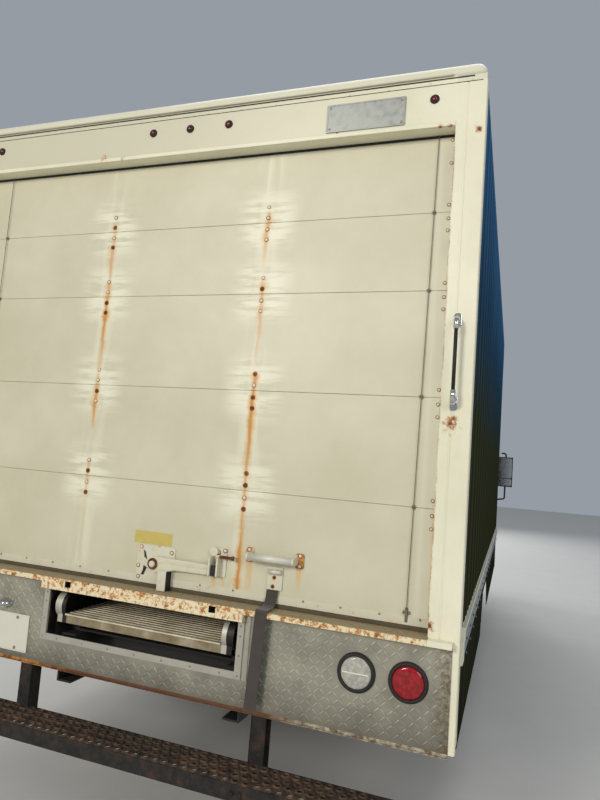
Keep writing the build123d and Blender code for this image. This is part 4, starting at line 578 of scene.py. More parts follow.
finishes["window glass"] = makeClear("tempered window glass", ("#C3D2CD", "#CFDBD6"), 0.03, 1.0)
finishes["red lens"] = makeClear("red acrylic lamp lens", ("#B41B23", "#86121A"), 0.12, 0.1, 12)
finishes["clear lens"] = makeClear("clear acrylic lamp lens", ("#CFCEC2", "#ADACA0"), 0.12, 0.2, 12)
finishes["seam acrylic"] = makeClear("moulded rib of the clear lens", ("#E4E2D6", "#EDEBE0"), 0.15, 0.1)
finishes["marker lens"] = makeClear("dark red marker lens", ("#4F1114", "#661A18"), 0.15, 0.1)
finishes["amber lens"] = makeClear("amber acrylic lens", ("#B5661A", "#C77721"), 0.12, 0.2)
finishes["headlamp lens"] = makeClear("polycarbonate headlamp lens", ("#C9CED0", "#D8DCDD"), 0.06, 0.6)


# Tyre rubber: carbon black, brown road dust on the walls, matt in the grooves
def makeTyreRubber():
    material, add, place = newMaterial("moulded tyre rubber", {"Roughness": 0.82})
    tone = add("Mix RGBA", add("TexNoise", place, 11.0, 6.0), "#161616", "#2B2824")
    return endMaterial(material, tone, add("Bump", 0.3, 0.0005, None, add("TexNoise", place, 400.0, 2.0)))


finishes["tyre rubber"] = makeTyreRubber()


# Woven cloth and webbing: two sets of threads at the stated spacing, drawn coarse enough to show
def makeWeave(name, tones, spacing, rough, slope=(0, 0, 0)):
    material, add, place = newMaterial(name, {"Roughness": rough, "Sheen Weight": 0.25})
    turned = add("Mapping", place, None, slope)
    across, depth, height = add("SeparateXYZ", turned).node.outputs
    threads = [add("Math SINE", add("Math MULTIPLY", axis, 2 * math.pi / spacing)) for axis in (across, height)]
    weave = together(*threads)
    tone = add("Mix RGBA", add("Math MULTIPLY_ADD", weave, 0.18, add("TexNoise", place, 8.0, 5.0)), *tones)
    return endMaterial(material, tone, add("Bump", 0.5, spacing * 0.15, None, weave))


finishes["webbing"] = makeWeave("polyester webbing, faded", ("#36302C", "#4E4640"), 0.004, 0.85)
finishes["seat cloth"] = makeWeave("woven seat cloth", ("#2C2F36", "#44474F"), 0.006, 0.9)


# Which finish each CAD node that stays gets
nodeFinishes = {
    "chassis black on rolled steel": ("chassis_frame", "subframe"),
    "forged steel with road film": ("leaf_springs", "rear_axle", "front_axle", "left_knuckle", "right_knuckle",
                                    "tie_rod", "drive_shaft"),
    "engine enamel on cast iron": ("engine",),
    "mill aluminium sheet": ("fuel_tank",),
    "moulded black polypropylene": ("battery_box", "front_grille", "dashboard", "seat_bases", "mirrors",
                                    "steering_wheel", "limb_guards"),
    "aluminised steel pipe": ("exhaust",),
    "cab acrylic, cream white": ("cab_shell", "left_door", "right_door", "front_bumper"),
    "wheel enamel on pressed steel": ("left_front_rim", "right_front_rim", "left_rear_rim", "right_rear_rim"),
    "chalky roof aluminium": ("cargo_roof",),
    "blank plate enamel": ("number_plate",),
    "frame enamel": ("rear_frame",),
    "latch zinc": ("door_hardware",),
    "rail enamel": ("body_rails",),
    "side sheet": ("side_walls", "front_wall", "side_skirts"),
    "tread plate": ("rear_apron",),
    "ramp aluminium": ("ramp",),
    "deck wood": ("cargo_floor",),
    "window glass": ("cab_glass", "left_door_glass", "right_door_glass"),
    "headlamp lens": ("headlamps",),
}
for finishName, members in nodeFinishes.items():
    for member in members:
        nodes[member].data.materials.clear()
        nodes[member].data.materials.append(finishes[finishName])
print("finishes on the CAD nodes")


# Geometry Nodes that place what repeats; each tree ends in plain mesh with its material set
def newTree(name, inputs):
    tree = bpy.data.node_groups.new(name, "GeometryNodeTree")
    tree.interface.new_socket("Geometry", in_out="INPUT", socket_type="NodeSocketGeometry")
    for label, kind, value in inputs:
        tree.interface.new_socket(label, in_out="INPUT", socket_type="NodeSocket" + kind).default_value = value
    tree.interface.new_socket("Geometry", in_out="OUTPUT", socket_type="NodeSocketGeometry")
    return tree, partial(addNode, tree), tree.nodes.new("NodeGroupInput").outputs


def endTree(tree, geometry, material):
    # Real geometry with its material goes to the tree's output
    real = addNode(tree, "GeometryNodeRealizeInstances", {"Geometry": geometry})
    if material:
        real = addNode(tree, "GeometryNodeSetMaterial", {"Geometry": real, "Material": material})
    tree.links.new(real, tree.nodes.new("NodeGroupOutput").inputs[0])
    return tree


def growPiece(name, tree, points, sizes, body, lean=None, replaced=()):
    # Points go through a tree and come back as one plain mesh that rides on its body
    mesh = bpy.data.meshes.new(name)
    mesh.from_pydata([tuple(point) for point in points], [], [])
    if lean is not None:
        mesh.attributes.new("lean", "FLOAT", "POINT").data.foreach_set("value", lean)
    piece = bpy.data.objects.new(name, mesh)
    scene.collection.objects.link(piece)
    modifier = piece.modifiers.new(name, "NODES")
    modifier.node_group = tree
    for item in tree.interface.items_tree:
        if item.item_type == "SOCKET" and item.in_out == "INPUT" and item.name in sizes:
            modifier[item.identifier] = sizes[item.name]
    grown = bpy.data.meshes.new_from_object(piece.evaluated_get(bpy.context.evaluated_depsgraph_get()))
    piece.modifiers.remove(modifier)
    piece.data = grown
    return settle(piece, body, replaced)


def settle(piece, body, replaced=()):
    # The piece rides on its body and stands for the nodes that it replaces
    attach(piece, body)
    if replaced:
        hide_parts(*replaced)
    return piece


def makeHeadTree(name, material, sides, washer, ring=None):
    # Fastener heads: a low dome of few faces, or a hexagon, on a washer, each turned at random
    tree, add, given = newTree(name, (("Radius", "Float", 0.006), ("Height", "Float", 0.003),
                                      ("Facing", "Vector", (0.0, -1.0, 0.0)), ("Seed", "Int", 4)))
    if sides:
        head = add("GeometryNodeMeshCylinder", {"Vertices": sides, "Radius": 1.0, "Depth": 2.0})
    else:
        head = add("GeometryNodeMeshUVSphere", {"Segments": 10, "Rings": 6, "Radius": 1.0})
    if washer:
        disc = add("GeometryNodeMeshCylinder", {"Vertices": 12, "Radius": washer, "Depth": 0.5})
        disc = add("GeometryNodeSetMaterial", {"Geometry": disc, "Material": ring or material})
        head = add("GeometryNodeSetMaterial", {"Geometry": head, "Material": material})
        head = add("GeometryNodeJoinGeometry", {"Geometry": head})
        tree.links.new(disc, head.node.inputs[0])
    turn = add("FunctionNodeAlignRotationToVector", {"Vector": given["Facing"]}, axis="Z")
    spin = add("FunctionNodeRandomValue", {2: 0.0, 3: 6.28, "Seed": given["Seed"]}, data_type="FLOAT")
    spin = add("FunctionNodeAxisAngleToRotation", {"Angle": spin, "Axis": (0.0, 0.0, 1.0)})
    turn = add("FunctionNodeRotateRotation", {0: turn, 1: spin}, rotation_space="LOCAL")
    size = add("CombineXYZ", given["Radius"], given["Radius"], given["Height"])
    heads = add("GeometryNodeInstanceOnPoints",
                {"Points": given["Geometry"], "Instance": head, "Rotation": turn, "Scale": size})
    return endTree(tree, heads, None if washer else material)


def makeBarTree(name, material, axis):
    # Straight bars of one size on the points, each turned about one axis by its own lean
    tree, add, given = newTree(name, (("Size", "Vector", (0.1, 0.004, 0.002)),))
    turn = add("CombineXYZ", {axis: add("GeometryNodeInputNamedAttribute", {"Name": "lean"}, data_type="FLOAT")})
    bar = add("GeometryNodeMeshCube", {"Size": given["Size"]})
    bars = add("GeometryNodeInstanceOnPoints", {"Points": given["Geometry"], "Instance": bar, "Rotation": turn})
    return endTree(tree, bars, material)


def makeLugTree(material):
    # Raised lens-shaped lugs of tread plate, each turned about Y by its own lean
    tree, add, given = newTree("treadLugs", (("Length", "Float", 0.025), ("Width", "Float", 0.0064),
                                             ("Rise", "Float", 0.0014)))
    lug = add("GeometryNodeMeshUVSphere", {"Segments": 8, "Rings": 4, "Radius": 0.5})
    turn = add("CombineXYZ", {1: add("GeometryNodeInputNamedAttribute", {"Name": "lean"}, data_type="FLOAT")})
    size = add("CombineXYZ", given["Length"], add("Math MULTIPLY", given["Rise"], 2.0), given["Width"])
    lugs = add("GeometryNodeInstanceOnPoints",
               {"Points": given["Geometry"], "Instance": lug, "Rotation": turn, "Scale": size})
    return endTree(tree, lugs, material)


paintedHeads = makeHeadTree("paintedHeads", finishes["rail enamel"], 0, 0)
rustyBolts = makeHeadTree("rustyBolts", finishes["dark bolt rust"], 0, 1.5, finishes["bolt rust"])
slimBolts = makeHeadTree("slimBolts", finishes["rail enamel"], 0, 1.18, finishes["bolt rust"])
paleBolts = makeHeadTree("paleBolts", finishes["rail enamel"], 0, 1.35, finishes["bolt rust"])
stepHeads = makeHeadTree("stepHeads", finishes["step rust with painted shade"], 6, 1.4)
zincHeads = makeHeadTree("zincHeads", finishes["zinc-plated hardware"], 0, 0)
hexNuts = makeHeadTree("hexNuts", finishes["zinc-plated hardware"], 6, 1.35)
print("node trees ready")


def closeMesh(build, name, material, smooth=False):
    # Doubles merged, normals outwards, then a new object with its material
    bmesh.ops.remove_doubles(build, verts=build.verts, dist=0.00001)
    bmesh.ops.recalc_face_normals(build, faces=build.faces)
    mesh = bpy.data.meshes.new(name)
    build.to_mesh(mesh)
    build.free()
    mesh.materials.append(material)
    if smooth:
        mesh.shade_smooth()
    piece = bpy.data.objects.new(name, mesh)
    scene.collection.objects.link(piece)
    return piece


def addBlock(build, x, y, z):
    # A closed block between two places on each axis
    corners = [build.verts.new(corner) for corner in product(sorted(x), sorted(y), sorted(z))]
    for ring in ((0, 1, 3, 2), (4, 6, 7, 5), (0, 4, 5, 1), (2, 3, 7, 6), (0, 2, 6, 4), (1, 5, 7, 3)):
        build.faces.new([corners[i] for i in ring])


def addLathe(build, centre, axis, profile, turns=32):
    # A closed lathe round an axis; the profile lists (distance along the axis, radius) and ends on it or loops
    axis = Vector(axis).normalized()
    side = axis.orthogonal().normalized()
    other = axis.cross(side)
    angles = [2 * math.pi * i / turns for i in range(turns)]
    rings = []
    for along, radius in profile:
        base = Vector(centre) + axis * along
        if radius < 1e-6:
            rings.append([build.verts.new(base)])
            continue
        rings.append([build.verts.new(base + side * radius * math.cos(turn) + other * radius * math.sin(turn))
                      for turn in angles])
    for first, second in zip(rings, rings[1:]):
        for i in range(turns):
            j = (i + 1) % turns
            corners = [first[i % len(first)], first[j % len(first)], second[j % len(second)], second[i % len(second)]]
            unique = [v for k, v in enumerate(corners) if v not in corners[:k]]
            if len(unique) > 2:
                build.faces.new(unique)


def joinRows(build, rows, closed=False):
    # Faces between each row of vertices and the next
    for first, second in zip(rows, rows[1:]):
        for i in range(len(first) if closed else len(first) - 1):
            j = (i + 1) % len(first)
            build.faces.new((first[i], first[j], second[j], second[i]))


def addTube(name, points, radius, finish, body, cyclic=False, turns=10):
    # A round rail along points, made a plain closed mesh
    data = bpy.data.curves.new(name + "Line", "CURVE")
    data.dimensions = "3D"
    data.bevel_depth = radius
    data.bevel_resolution = max(1, turns // 4)
    data.use_fill_caps = True
    spline = data.splines.new("POLY")
    spline.points.add(len(points) - 1)
    for knot, place in zip(spline.points, points):
        knot.co = (*place, 1.0)
    spline.use_cyclic_u = cyclic
    line = bpy.data.objects.new(name + "Line", data)
    scene.collection.objects.link(line)
    mesh = bpy.data.meshes.new_from_object(line.evaluated_get(bpy.context.evaluated_depsgraph_get()))
    bpy.data.objects.remove(line)
    build = bmesh.new()
    build.from_mesh(mesh)
    settle(closeMesh(build, name, finishes[finish], True), body)


def roundedLoop(points, radius, steps=6):
    # A closed outline with its corners rounded
    loop = []
    count = len(points)
    for i in range(count):
        corner = Vector(points[i])
        before = (Vector(points[i - 1]) - corner).normalized()
        after = (Vector(points[(i + 1) % count]) - corner).normalized()
        start, end = corner + before * radius, corner + after * radius
        for step in range(steps + 1):
            t = step / steps
            loop.append((1 - t) ** 2 * start + 2 * t * (1 - t) * corner + t ** 2 * end)
    return loop


def addPlate(build, outline, depth):
    # A closed plate from a loop of corners and the vector to its other face
    near = [build.verts.new(Vector(corner)) for corner in outline]
    far = [build.verts.new(Vector(corner) + Vector(depth)) for corner in outline]
    build.faces.new(near)
    build.faces.new(list(reversed(far)))
    for i in range(len(near)):
        j = (i + 1) % len(near)
        build.faces.new((near[i], far[i], far[j], near[j]))


def upright(x, y, z):
    # The corners of an upright rectangle between two places across and two heights
    return [(x[0], y, z[0]), (x[1], y, z[0]), (x[1], y, z[1]), (x[0], y, z[1])]


def rimBars(x, z, width):
    # Ranges across and up of the four bars that run inside a rectangle
    inner = (z[0] + width, z[1] - width)
    return (x, (z[0], inner[0])), (x, (inner[1], z[1])), ((x[0], x[0] + width), inner), ((x[1] - width, x[1]), inner)


def rod(length, radius):
    # The lathe profile of a plain rod
    return (0.0, 0.0), (0.0, radius), (length, radius), (length, 0.0)


def middleOf(node):
    # Depth and height of a wheel's axle, from the box of its node
    low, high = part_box(node)
    return (low.y + high.y) / 2, (low.z + high.z) / 2


def spaced(start, end, pitch):
    # Even places from start to end, about a pitch apart
    count = max(1, round((end - start) / pitch))
    return [start + (end - start) * i / count for i in range(count + 1)]


def endPiece(build, name, finish, slotName, body="truck", replaced=(), soft=None, steps=2, smooth=False):
    # Closes a piece, settles it and rounds its edges where soft gives a width
    piece = settle(closeMesh(build, name, finishes[finish], smooth), body, replaced)
    if soft:
        bevel = piece.modifiers.new("softEdges", "BEVEL")
        bevel.width = soft
        bevel.segments = steps
        bevel.limit_method = "ANGLE"
        bevel.angle_limit = math.radians(35)


def addBlocks(name, finish, slotName, blocks, **rest):
    # A piece made of blocks only
    build = bmesh.new()
    for block in blocks:
        addBlock(build, *block)
    endPiece(build, name, finish, slotName, **rest)


def addLathes(name, finish, slotName, places, axis, profile, turns, **rest):
    # A piece made of one lathe, repeated on its places
    build = bmesh.new()
    for place in places:
        addLathe(build, place, axis, profile, turns)
    endPiece(build, name, finish, slotName, smooth=True, **rest)


def addHeads(name, tree, points, radius, height, facing=0, body="truck"):
    # Fastener heads on their points, facing the rear or, with facing, one side
    facing = (facing, 0.0, 0.0) if facing else (0.0, -1.0, 0.0)
    growPiece(name, tree, points, {"Radius": radius, "Height": height, "Facing": facing}, body)


# Door: five panels with eased edges, bolts through the roller brackets, cables, a retainer and seal along the foot
doorSizes = {
    "panelGap": 0.0005,
    "panelEase": 0.0014,
    "skin": 0.010,
    # how each bolt of a group looks, from the head of the door down: ringed with rust, painted over or dark
    "boltLooks": (("rdrd", "prrr"), ("rpdd", "pdrp"), ("ppdr", "dpdd"), ("rdrd", "ddrd")),
    "boltOffsets": (0.067, 0.021, -0.028, -0.072),
    "boltRadius": 0.0070,
    "boltHeight": 0.0042,
    "hingeX": 1.1005,
    "hingeOffsets": (0.028, -0.025, -0.071),
    "hingeHeads": (2.822, 2.731),
    "hingeRadius": 0.0055,
    "cableRadius": 0.0015,
    "cableLift": 0.0070,
    "tail": 0.030,
    "knot": 0.0046,
    "clip": (0.005, 0.013, 0.030),
    "retainerTop": deckLineZ + 0.066,
    "retainerFoot": deckLineZ + 0.036,
    "retainerThickness": 0.003,
    "screwPitch": 0.14,
    "sealThickness": 0.006,
    "sealFoot": deckLineZ + 0.0205,
    "half": 1.112,
}


def dressDoor(sizes):
    low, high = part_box("rear_door")
    edges = [low.z, *jointHeights, high.z]
    gap = sizes["panelGap"]
    build = bmesh.new()
    for foot, head in zip(edges, edges[1:]):
        addBlock(build, (low.x, high.x), (doorFaceY, doorFaceY + sizes["skin"]), (foot + gap, head - gap))
    addBlock(build, (low.x, high.x), (doorFaceY + sizes["skin"] * 0.7, high.y), (low.z, high.z))
    endPiece(build, "doorPanels", "door enamel", "door_paint", replaced=("rear_door",), soft=sizes["panelEase"])
    groups = {"r": [], "p": [], "d": []}
    for joint, looks in zip(reversed(jointHeights), sizes["boltLooks"]):
        for x, letters in zip(boltColumns, looks):
            for offset, letter in zip(sizes["boltOffsets"], letters):
                groups[letter].append((x, doorFaceY, joint + offset))
    for name, tree, letter in (("ringedBolts", paleBolts, "r"), ("paintedBolts", slimBolts, "p"),
                               ("darkBolts", rustyBolts, "d")):
        addHeads(name, tree, groups[letter], sizes["boltRadius"], sizes["boltHeight"])
    ends = [(side * sizes["hingeX"], doorFaceY, joint + offset) for side in (-1, 1) for joint in jointHeights
            for offset in sizes["hingeOffsets"]]
    ends += [(side * sizes["hingeX"], doorFaceY, z) for side in (-1, 1) for z in sizes["hingeHeads"]]
    addHeads("endHingeBolts", paleBolts, ends, sizes["hingeRadius"], 0.0035)
    # cables with a knot at each joint, held by a cross-shaped clip at the foot
    build = bmesh.new()
    ropeY = doorFaceY - sizes["cableLift"]
    for foot, head in cableLeans:
        lean = (Vector((head, ropeY, cableHead)) - Vector((foot, ropeY, cableFoot))).normalized()
        addLathe(build, Vector((foot, ropeY, cableFoot)) - lean * sizes["tail"], lean,
                 rod(cableHead - cableFoot + sizes["tail"], sizes["cableRadius"]), 8)
        for joint in jointHeights:
            x = foot + (head - foot) * (joint - cableFoot) / (cableHead - cableFoot)
            addLathe(build, (x, ropeY, joint - 0.006), lean, ((0.0, 0.0), (0.002, sizes["knot"]),
                    (0.010, sizes["knot"]), (0.012, 0.0)), 8)
        thin, wide, tall = sizes["clip"]
        addBlock(build, (foot - thin, foot + thin), (doorFaceY - 0.0044, doorFaceY), (cableFoot - 0.05, cableFoot))
        addBlock(build, (foot - wide, foot + wide), (doorFaceY - 0.0058, doorFaceY - 0.0005),
                 (cableFoot - 0.022, cableFoot - 0.012))
        addBlock(build, (foot - 0.004, foot + 0.004), (ropeY - 0.003, doorFaceY),
                 (cableFoot - tall, cableFoot - 0.006))
    endPiece(build, "doorCables", "galvanised wire rope", "galvanised_steel", replaced=("door_cables",))
    width = (-sizes["half"], sizes["half"])
    screwY = doorFaceY - sizes["retainerThickness"]
    addBlocks("doorRetainer", "latch zinc", "door_paint",
              [(width, (screwY, doorFaceY), (sizes["retainerFoot"], sizes["retainerTop"]))], soft=0.001)
    addBlocks("doorSeal", "rubber seal under road dirt", "tyre_rubber",
              [(width, (doorFaceY - sizes["sealThickness"], doorFaceY), (sizes["sealFoot"], sizes["retainerFoot"]))],
              soft=0.002)
    screws = [(x, screwY, deckLineZ + 0.060) for x in spaced(-1.08, 1.08, sizes["screwPitch"]) if not -0.09 < x < 0.1]
    addHeads("retainerScrews", zincHeads, screws, 0.0045, 0.002)


dressDoor(doorSizes)
print("door dressed")

# Header and pillars: lip over the opening, drip edge under the roof rail, screws, corner trims with rivets
frameSizes = {
    "lipZ": (2.843, 2.861),
    "lipReach": 0.006,
    "dripZ": (3.039, 3.047),
    "dripReach": 0.009,
    "dripEnd": 1.100,
    "gaps": ((3.029, 3.034, 1.175, rearY), (3.0105, 3.0125, 1.205, rearY), (2.833, 2.8425, 1.112, doorFaceY - 0.002)),
    "seamScrewZ": 3.019,
    "seamPitch": 0.152,
    "trimWidth": 0.034,
    "trimThickness": 0.0025,
    "trimPitch": 0.142,
    "trimZ": (0.662, 3.012),
    "trimRivetZ": (0.72, 2.95),
    "openingHalf": 1.115,
}


def dressFrame(sizes):
    for name, finish, ends, reach, z, soft in (
            ("headerLip", "frame enamel", (-sizes["openingHalf"], sizes["openingHalf"]), sizes["lipReach"],
             sizes["lipZ"], 0.005),
            ("dripEdge", "rail enamel", (-bodyHalf + 0.002, sizes["dripEnd"]), sizes["dripReach"],
             sizes["dripZ"], 0.003)):
        addBlocks(name, finish, "body_paint", [(ends, (rearY - reach, rearY + 0.001), z)], soft=soft, steps=3)
    # shadow gaps: dark strips that paint the shade under the roof rail and between the lip and the door, and the dark
    # seam line
    build = bmesh.new()
    for low, high, halfX, face in sizes["gaps"]:
        addBlock(build, (-halfX, halfX), (face - 0.0012, face + 0.0005), (low, high))
    endPiece(build, "headerSeals", "extruded black rubber", "tyre_rubber")
    screws = [(x, rearY, sizes["seamScrewZ"]) for x in spaced(-1.17, 1.17, sizes["seamPitch"])]
    addHeads("headerScrews", paintedHeads, screws, 0.0048, 0.0028)
    # edge trims wrap each rear corner, riveted to the side
    out = bodyHalf + sizes["trimThickness"]
    depth = (rearY + 0.0005, rearY + sizes["trimWidth"])
    addBlocks("cornerTrims", "rail enamel", "body_paint",
              [((side * bodyHalf, side * out), depth, sizes["trimZ"]) for side in (-1, 1)], soft=0.0008)
    for side, word in bothSides:
        rivets = [(side * out, rearY + sizes["trimWidth"] * 0.5, z)
                  for z in spaced(*sizes["trimRivetZ"], sizes["trimPitch"])]
        addHeads(word + "TrimRivets", paintedHeads, rivets, 0.006, 0.0035, facing=side)


dressFrame(frameSizes)
print("frame dressed")

# Apron: tread lugs in a checkerboard, bars round the ramp's slot, a rusty flange below
apronSizes = {
    "half": 1.199,
    "foot": 0.664,
    "top": 0.998,
    "pitch": 0.024,
    "lug": (0.030, 0.0078, 0.0019),
    "slotX": (-0.446, 0.422),
    "slotZ": (0.785, 0.972),
    "bar": 0.026,
    "barThickness": 0.004,
    "lampX": (1.060, 0.880, -0.925, -1.080),
    "lampZ": 0.865,
    "lampClear": 0.071,
    "plateX": (-0.843, -0.534),
    "plateZ": (0.686, 0.840),
    "flange": 0.010,
    "flangeZ": (0.652, 0.6545),
    "edge": (0.006, 0.024, 0.003),
}


def dressApron(sizes):
    margin = 0.012
    points, leans = [], []
    columns = int(2 * sizes["half"] / sizes["pitch"])
    rows = int((sizes["top"] - sizes["foot"]) / sizes["pitch"])
    slot = (sizes["slotX"][0] - sizes["bar"] - margin, sizes["slotX"][1] + 2 * sizes["bar"] + margin,
            sizes["slotZ"][0] - sizes["bar"] - margin)
    for column in range(columns):
        for row in range(rows):
            x = -sizes["half"] + (column + 0.75) * sizes["pitch"]
            z = sizes["foot"] + (row + 0.7) * sizes["pitch"]
            inSlot = slot[0] < x < slot[1] and z > slot[2]
            onLamp = any(math.hypot(x - lampX, z - sizes["lampZ"]) < sizes["lampClear"] + margin
                         for lampX in sizes["lampX"])
            onPlate = sizes["plateX"][0] < x < sizes["plateX"][1] and sizes["plateZ"][0] < z < sizes["plateZ"][1]
            if inSlot or onLamp or onPlate:
                continue
            points.append((x, apronFaceY, z))
            leans.append(math.radians(45 if (column + row) % 2 else -45))
    tree = makeLugTree(finishes["tread lugs"])
    length, width, rise = sizes["lug"]
    growPiece("apronLugs", tree, points, {"Length": length, "Width": width, "Rise": rise}, "truck",
              leans)
    left, right = sizes["slotX"]
    low, high = sizes["slotZ"]
    bar = sizes["bar"]
    depth = (apronFaceY - sizes["barThickness"], apronFaceY)
    near, far, thick = sizes["edge"]
    addBlocks("slotBars", "greyed paint on aluminium angle", "bare_aluminium",
              [((left - bar, left), depth, (low - bar, high)),
               ((right, right + bar), depth, (low - bar, high)),
               ((left, right), depth, (low - bar, low)),
               ((right + bar + near, right + bar + far), (apronFaceY - thick, apronFaceY), (low - bar, high + 0.02))],
              soft=0.001)
    # dark cheeks that close the slot off from the underside, standing in for the shade inside the slot
    cheeks = [((x, x + 0.006), (rearY + 0.052, rearY + 0.5), (low - 0.05, high - 0.004))
              for x in (left - 0.006, right)]
    addBlocks("slotCheeks", "chassis black on rolled steel", "chassis_paint", cheeks)
    rivets = [(x, depth[0], z) for x in (left - bar / 2, right + bar / 2)
              for z in (low - 0.012, low + 0.06, low + 0.13, high - 0.02)]
    rivets += [(x, depth[0], low - bar / 2) for x in spaced(left + 0.06, right - 0.06, 0.125)]
    addHeads("slotRivets", zincHeads, rivets, 0.004, 0.002)
    width = (-sizes["half"], sizes["half"])
    addBlocks("apronFlange", "frame enamel", "rusty_steel",
              [(width, (apronFaceY - 0.001, rearY), (sizes["flangeZ"][0], sizes["foot"])),
               (width, (apronFaceY - sizes["flange"], apronFaceY), sizes["flangeZ"])])


dressApron(apronSizes)
print("apron dressed")

# Lamps: rubber grommets round domed lenses, and small marker lamps
lampSizes = {
    "red": (1.060, -1.080),
    "clear": (0.880, -0.925),
    "height": 0.865,
    "grommet": ((0.004, 0.0595), (-0.004, 0.0595), (-0.004, 0.068), (0.002, 0.0684), (0.006, 0.067), (0.0095, 0.063),
                (0.0105, 0.0585), (0.009, 0.0555), (0.004, 0.0545), (-0.004, 0.0545)),
    "lens": ((-0.003, 0.0), (-0.003, 0.0545), (0.006, 0.0545), (0.0095, 0.052), (0.0115, 0.046), (0.0128, 0.036),
             (0.0140, 0.022), (0.0146, 0.010), (0.0148, 0.0)),
    "seam": (0.047, 0.0022, 0.0158),
    "markerX": (-1.034, -0.183, 0.0, 0.183, 1.034),
    "markerZ": 2.956,
    "bezel": ((0.0, 0.0115), (0.0, 0.0175), (0.004, 0.0172), (0.0065, 0.0155), (0.007, 0.013), (0.004, 0.0118)),
    "markerLens": ((0.0, 0.0), (0.0, 0.0118), (0.006, 0.0118), (0.009, 0.0095), (0.0108, 0.005), (0.0112, 0.0)),
}


def closedProfile(profile):
    return tuple(profile) + (profile[0],)


def makeLamps(sizes):
    z = sizes["height"]
    for name, finish, slotName, columns, profile, replaced in (
            ("lampGrommets", "extruded black rubber", "tyre_rubber", sizes["red"] + sizes["clear"],
             closedProfile(sizes["grommet"]), ("rear_lamps",)),
            ("tailLenses", "red lens", "lamp_plastic", sizes["red"], sizes["lens"], ()),
            ("reverseLenses", "clear lens", "lamp_plastic", sizes["clear"], sizes["lens"], ())):
        places = [(x, apronFaceY, z) for x in columns]
        addLathes(name, finish, slotName, places, (0, -1, 0), profile, 48, replaced=replaced)
    reach, rise, proud = sizes["seam"]
    seams = [((x - reach, x + reach), (apronFaceY - proud, apronFaceY - 0.002), (z - rise, z + rise))
             for x in sizes["clear"]]
    addBlocks("lensSeams", "seam acrylic", "lamp_plastic", seams, soft=0.001)
    for name, profile, finish in (("markerBezels", closedProfile(sizes["bezel"]), "extruded black rubber"),
                                  ("markerLenses", sizes["markerLens"], "marker lens")):
        build = bmesh.new()
        for x in sizes["markerX"]:
            addLathe(build, (x, rearY, sizes["markerZ"]), (0, -1, 0), profile, 24)
            addLathe(build, (x, bodyFrontY, sizes["markerZ"]), (0, 1, 0), profile, 24)
        endPiece(build, name, finish, "amber_plastic", replaced=("marker_lamps",) if name == "markerLenses" else (),
                 smooth=True)


makeLamps(lampSizes)
print("lamps ready")

# Blank sign above the door, blank patch over the latch, plate with its rim and lamp
signSizes = {
    "signX": (0.616, 0.926),
    "signZ": (2.867, 2.982),
    "signThickness": 0.003,
    "rimWidth": 0.006,
    "patchX": (-0.106, 0.070),
    "patchZ": (deckLineZ + 0.192, deckLineZ + 0.242),
    "patchThickness": 0.0006,
    "plateX": (-0.841, -0.536),
    "plateZ": (0.687, 0.839),
    "plateRim": 0.005,
    "plateLamp": (-0.668, 0.878),
}


def makeSigns(sizes):
    x, z, face = sizes["signX"], sizes["signZ"], rearY - sizes["signThickness"]
    addBlocks("blankSign", "anodised foil plate, faded", "plate_paint", [(x, (face, rearY + 0.0005), z)], soft=0.0012)
    bars = [(across, (face - 0.0012, face + 0.0002), up) for across, up in rimBars(x, z, sizes["rimWidth"])]
    addBlocks("signRim", "anodised foil plate, faded", "plate_paint", bars, soft=0.0005)
    corners = [(cx, face, cz) for cx in (x[0] + 0.014, x[1] - 0.014) for cz in (z[0] + 0.014, z[1] - 0.014)]
    addHeads("signScrews", zincHeads, corners, 0.0045, 0.0025)
    depth = (doorFaceY - sizes["patchThickness"], doorFaceY + 0.0002)
    addBlocks("yellowPatch", "chalked yellow vinyl film", "door_paint", [(sizes["patchX"], depth, sizes["patchZ"])])
    x, z, face = sizes["plateX"], sizes["plateZ"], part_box("number_plate")[0].y
    bars = [(across, (face - 0.0014, face + 0.0005), up) for across, up in rimBars(x, z, sizes["plateRim"])]
    addBlocks("plateRim", "blank plate enamel", "plate_paint", bars, soft=0.0006)
    bolts = [(bx, face, bz) for bx in (x[0] + 0.063, x[1] - 0.063) for bz in (z[0] + 0.014, z[1] - 0.014)]
    addHeads("plateBolts", zincHeads, bolts, 0.007, 0.004)
    # the plate lamp: a chromed hood with a slot of lens under it
    build = bmesh.new()
    centre = (sizes["plateLamp"][0], apronFaceY, sizes["plateLamp"][1])
    addLathe(build, centre, (0, -1, 0), ((-0.002, 0.0), (-0.002, 0.031), (0.004, 0.031), (0.008, 0.027),
            (0.014, 0.025), (0.026, 0.020), (0.033, 0.010), (0.035, 0.0)), 32)
    bmesh.ops.scale(build, vec=(1.15, 1.0, 0.62), space=Matrix.Translation(-Vector(centre)), verts=build.verts)
    endPiece(build, "plateLampHood", "chrome plate", "lamp_plastic", smooth=True)
    low = (centre[0], apronFaceY - 0.014, centre[2] - 0.013)
    profile = ((-0.003, 0.0), (-0.003, 0.012), (0.004, 0.011), (0.006, 0.006), (0.0065, 0.0))
    addLathes("plateLampLens", "clear lens", "lamp_plastic", [low], (0, 0, -1), profile, 20)


makeSigns(signSizes)

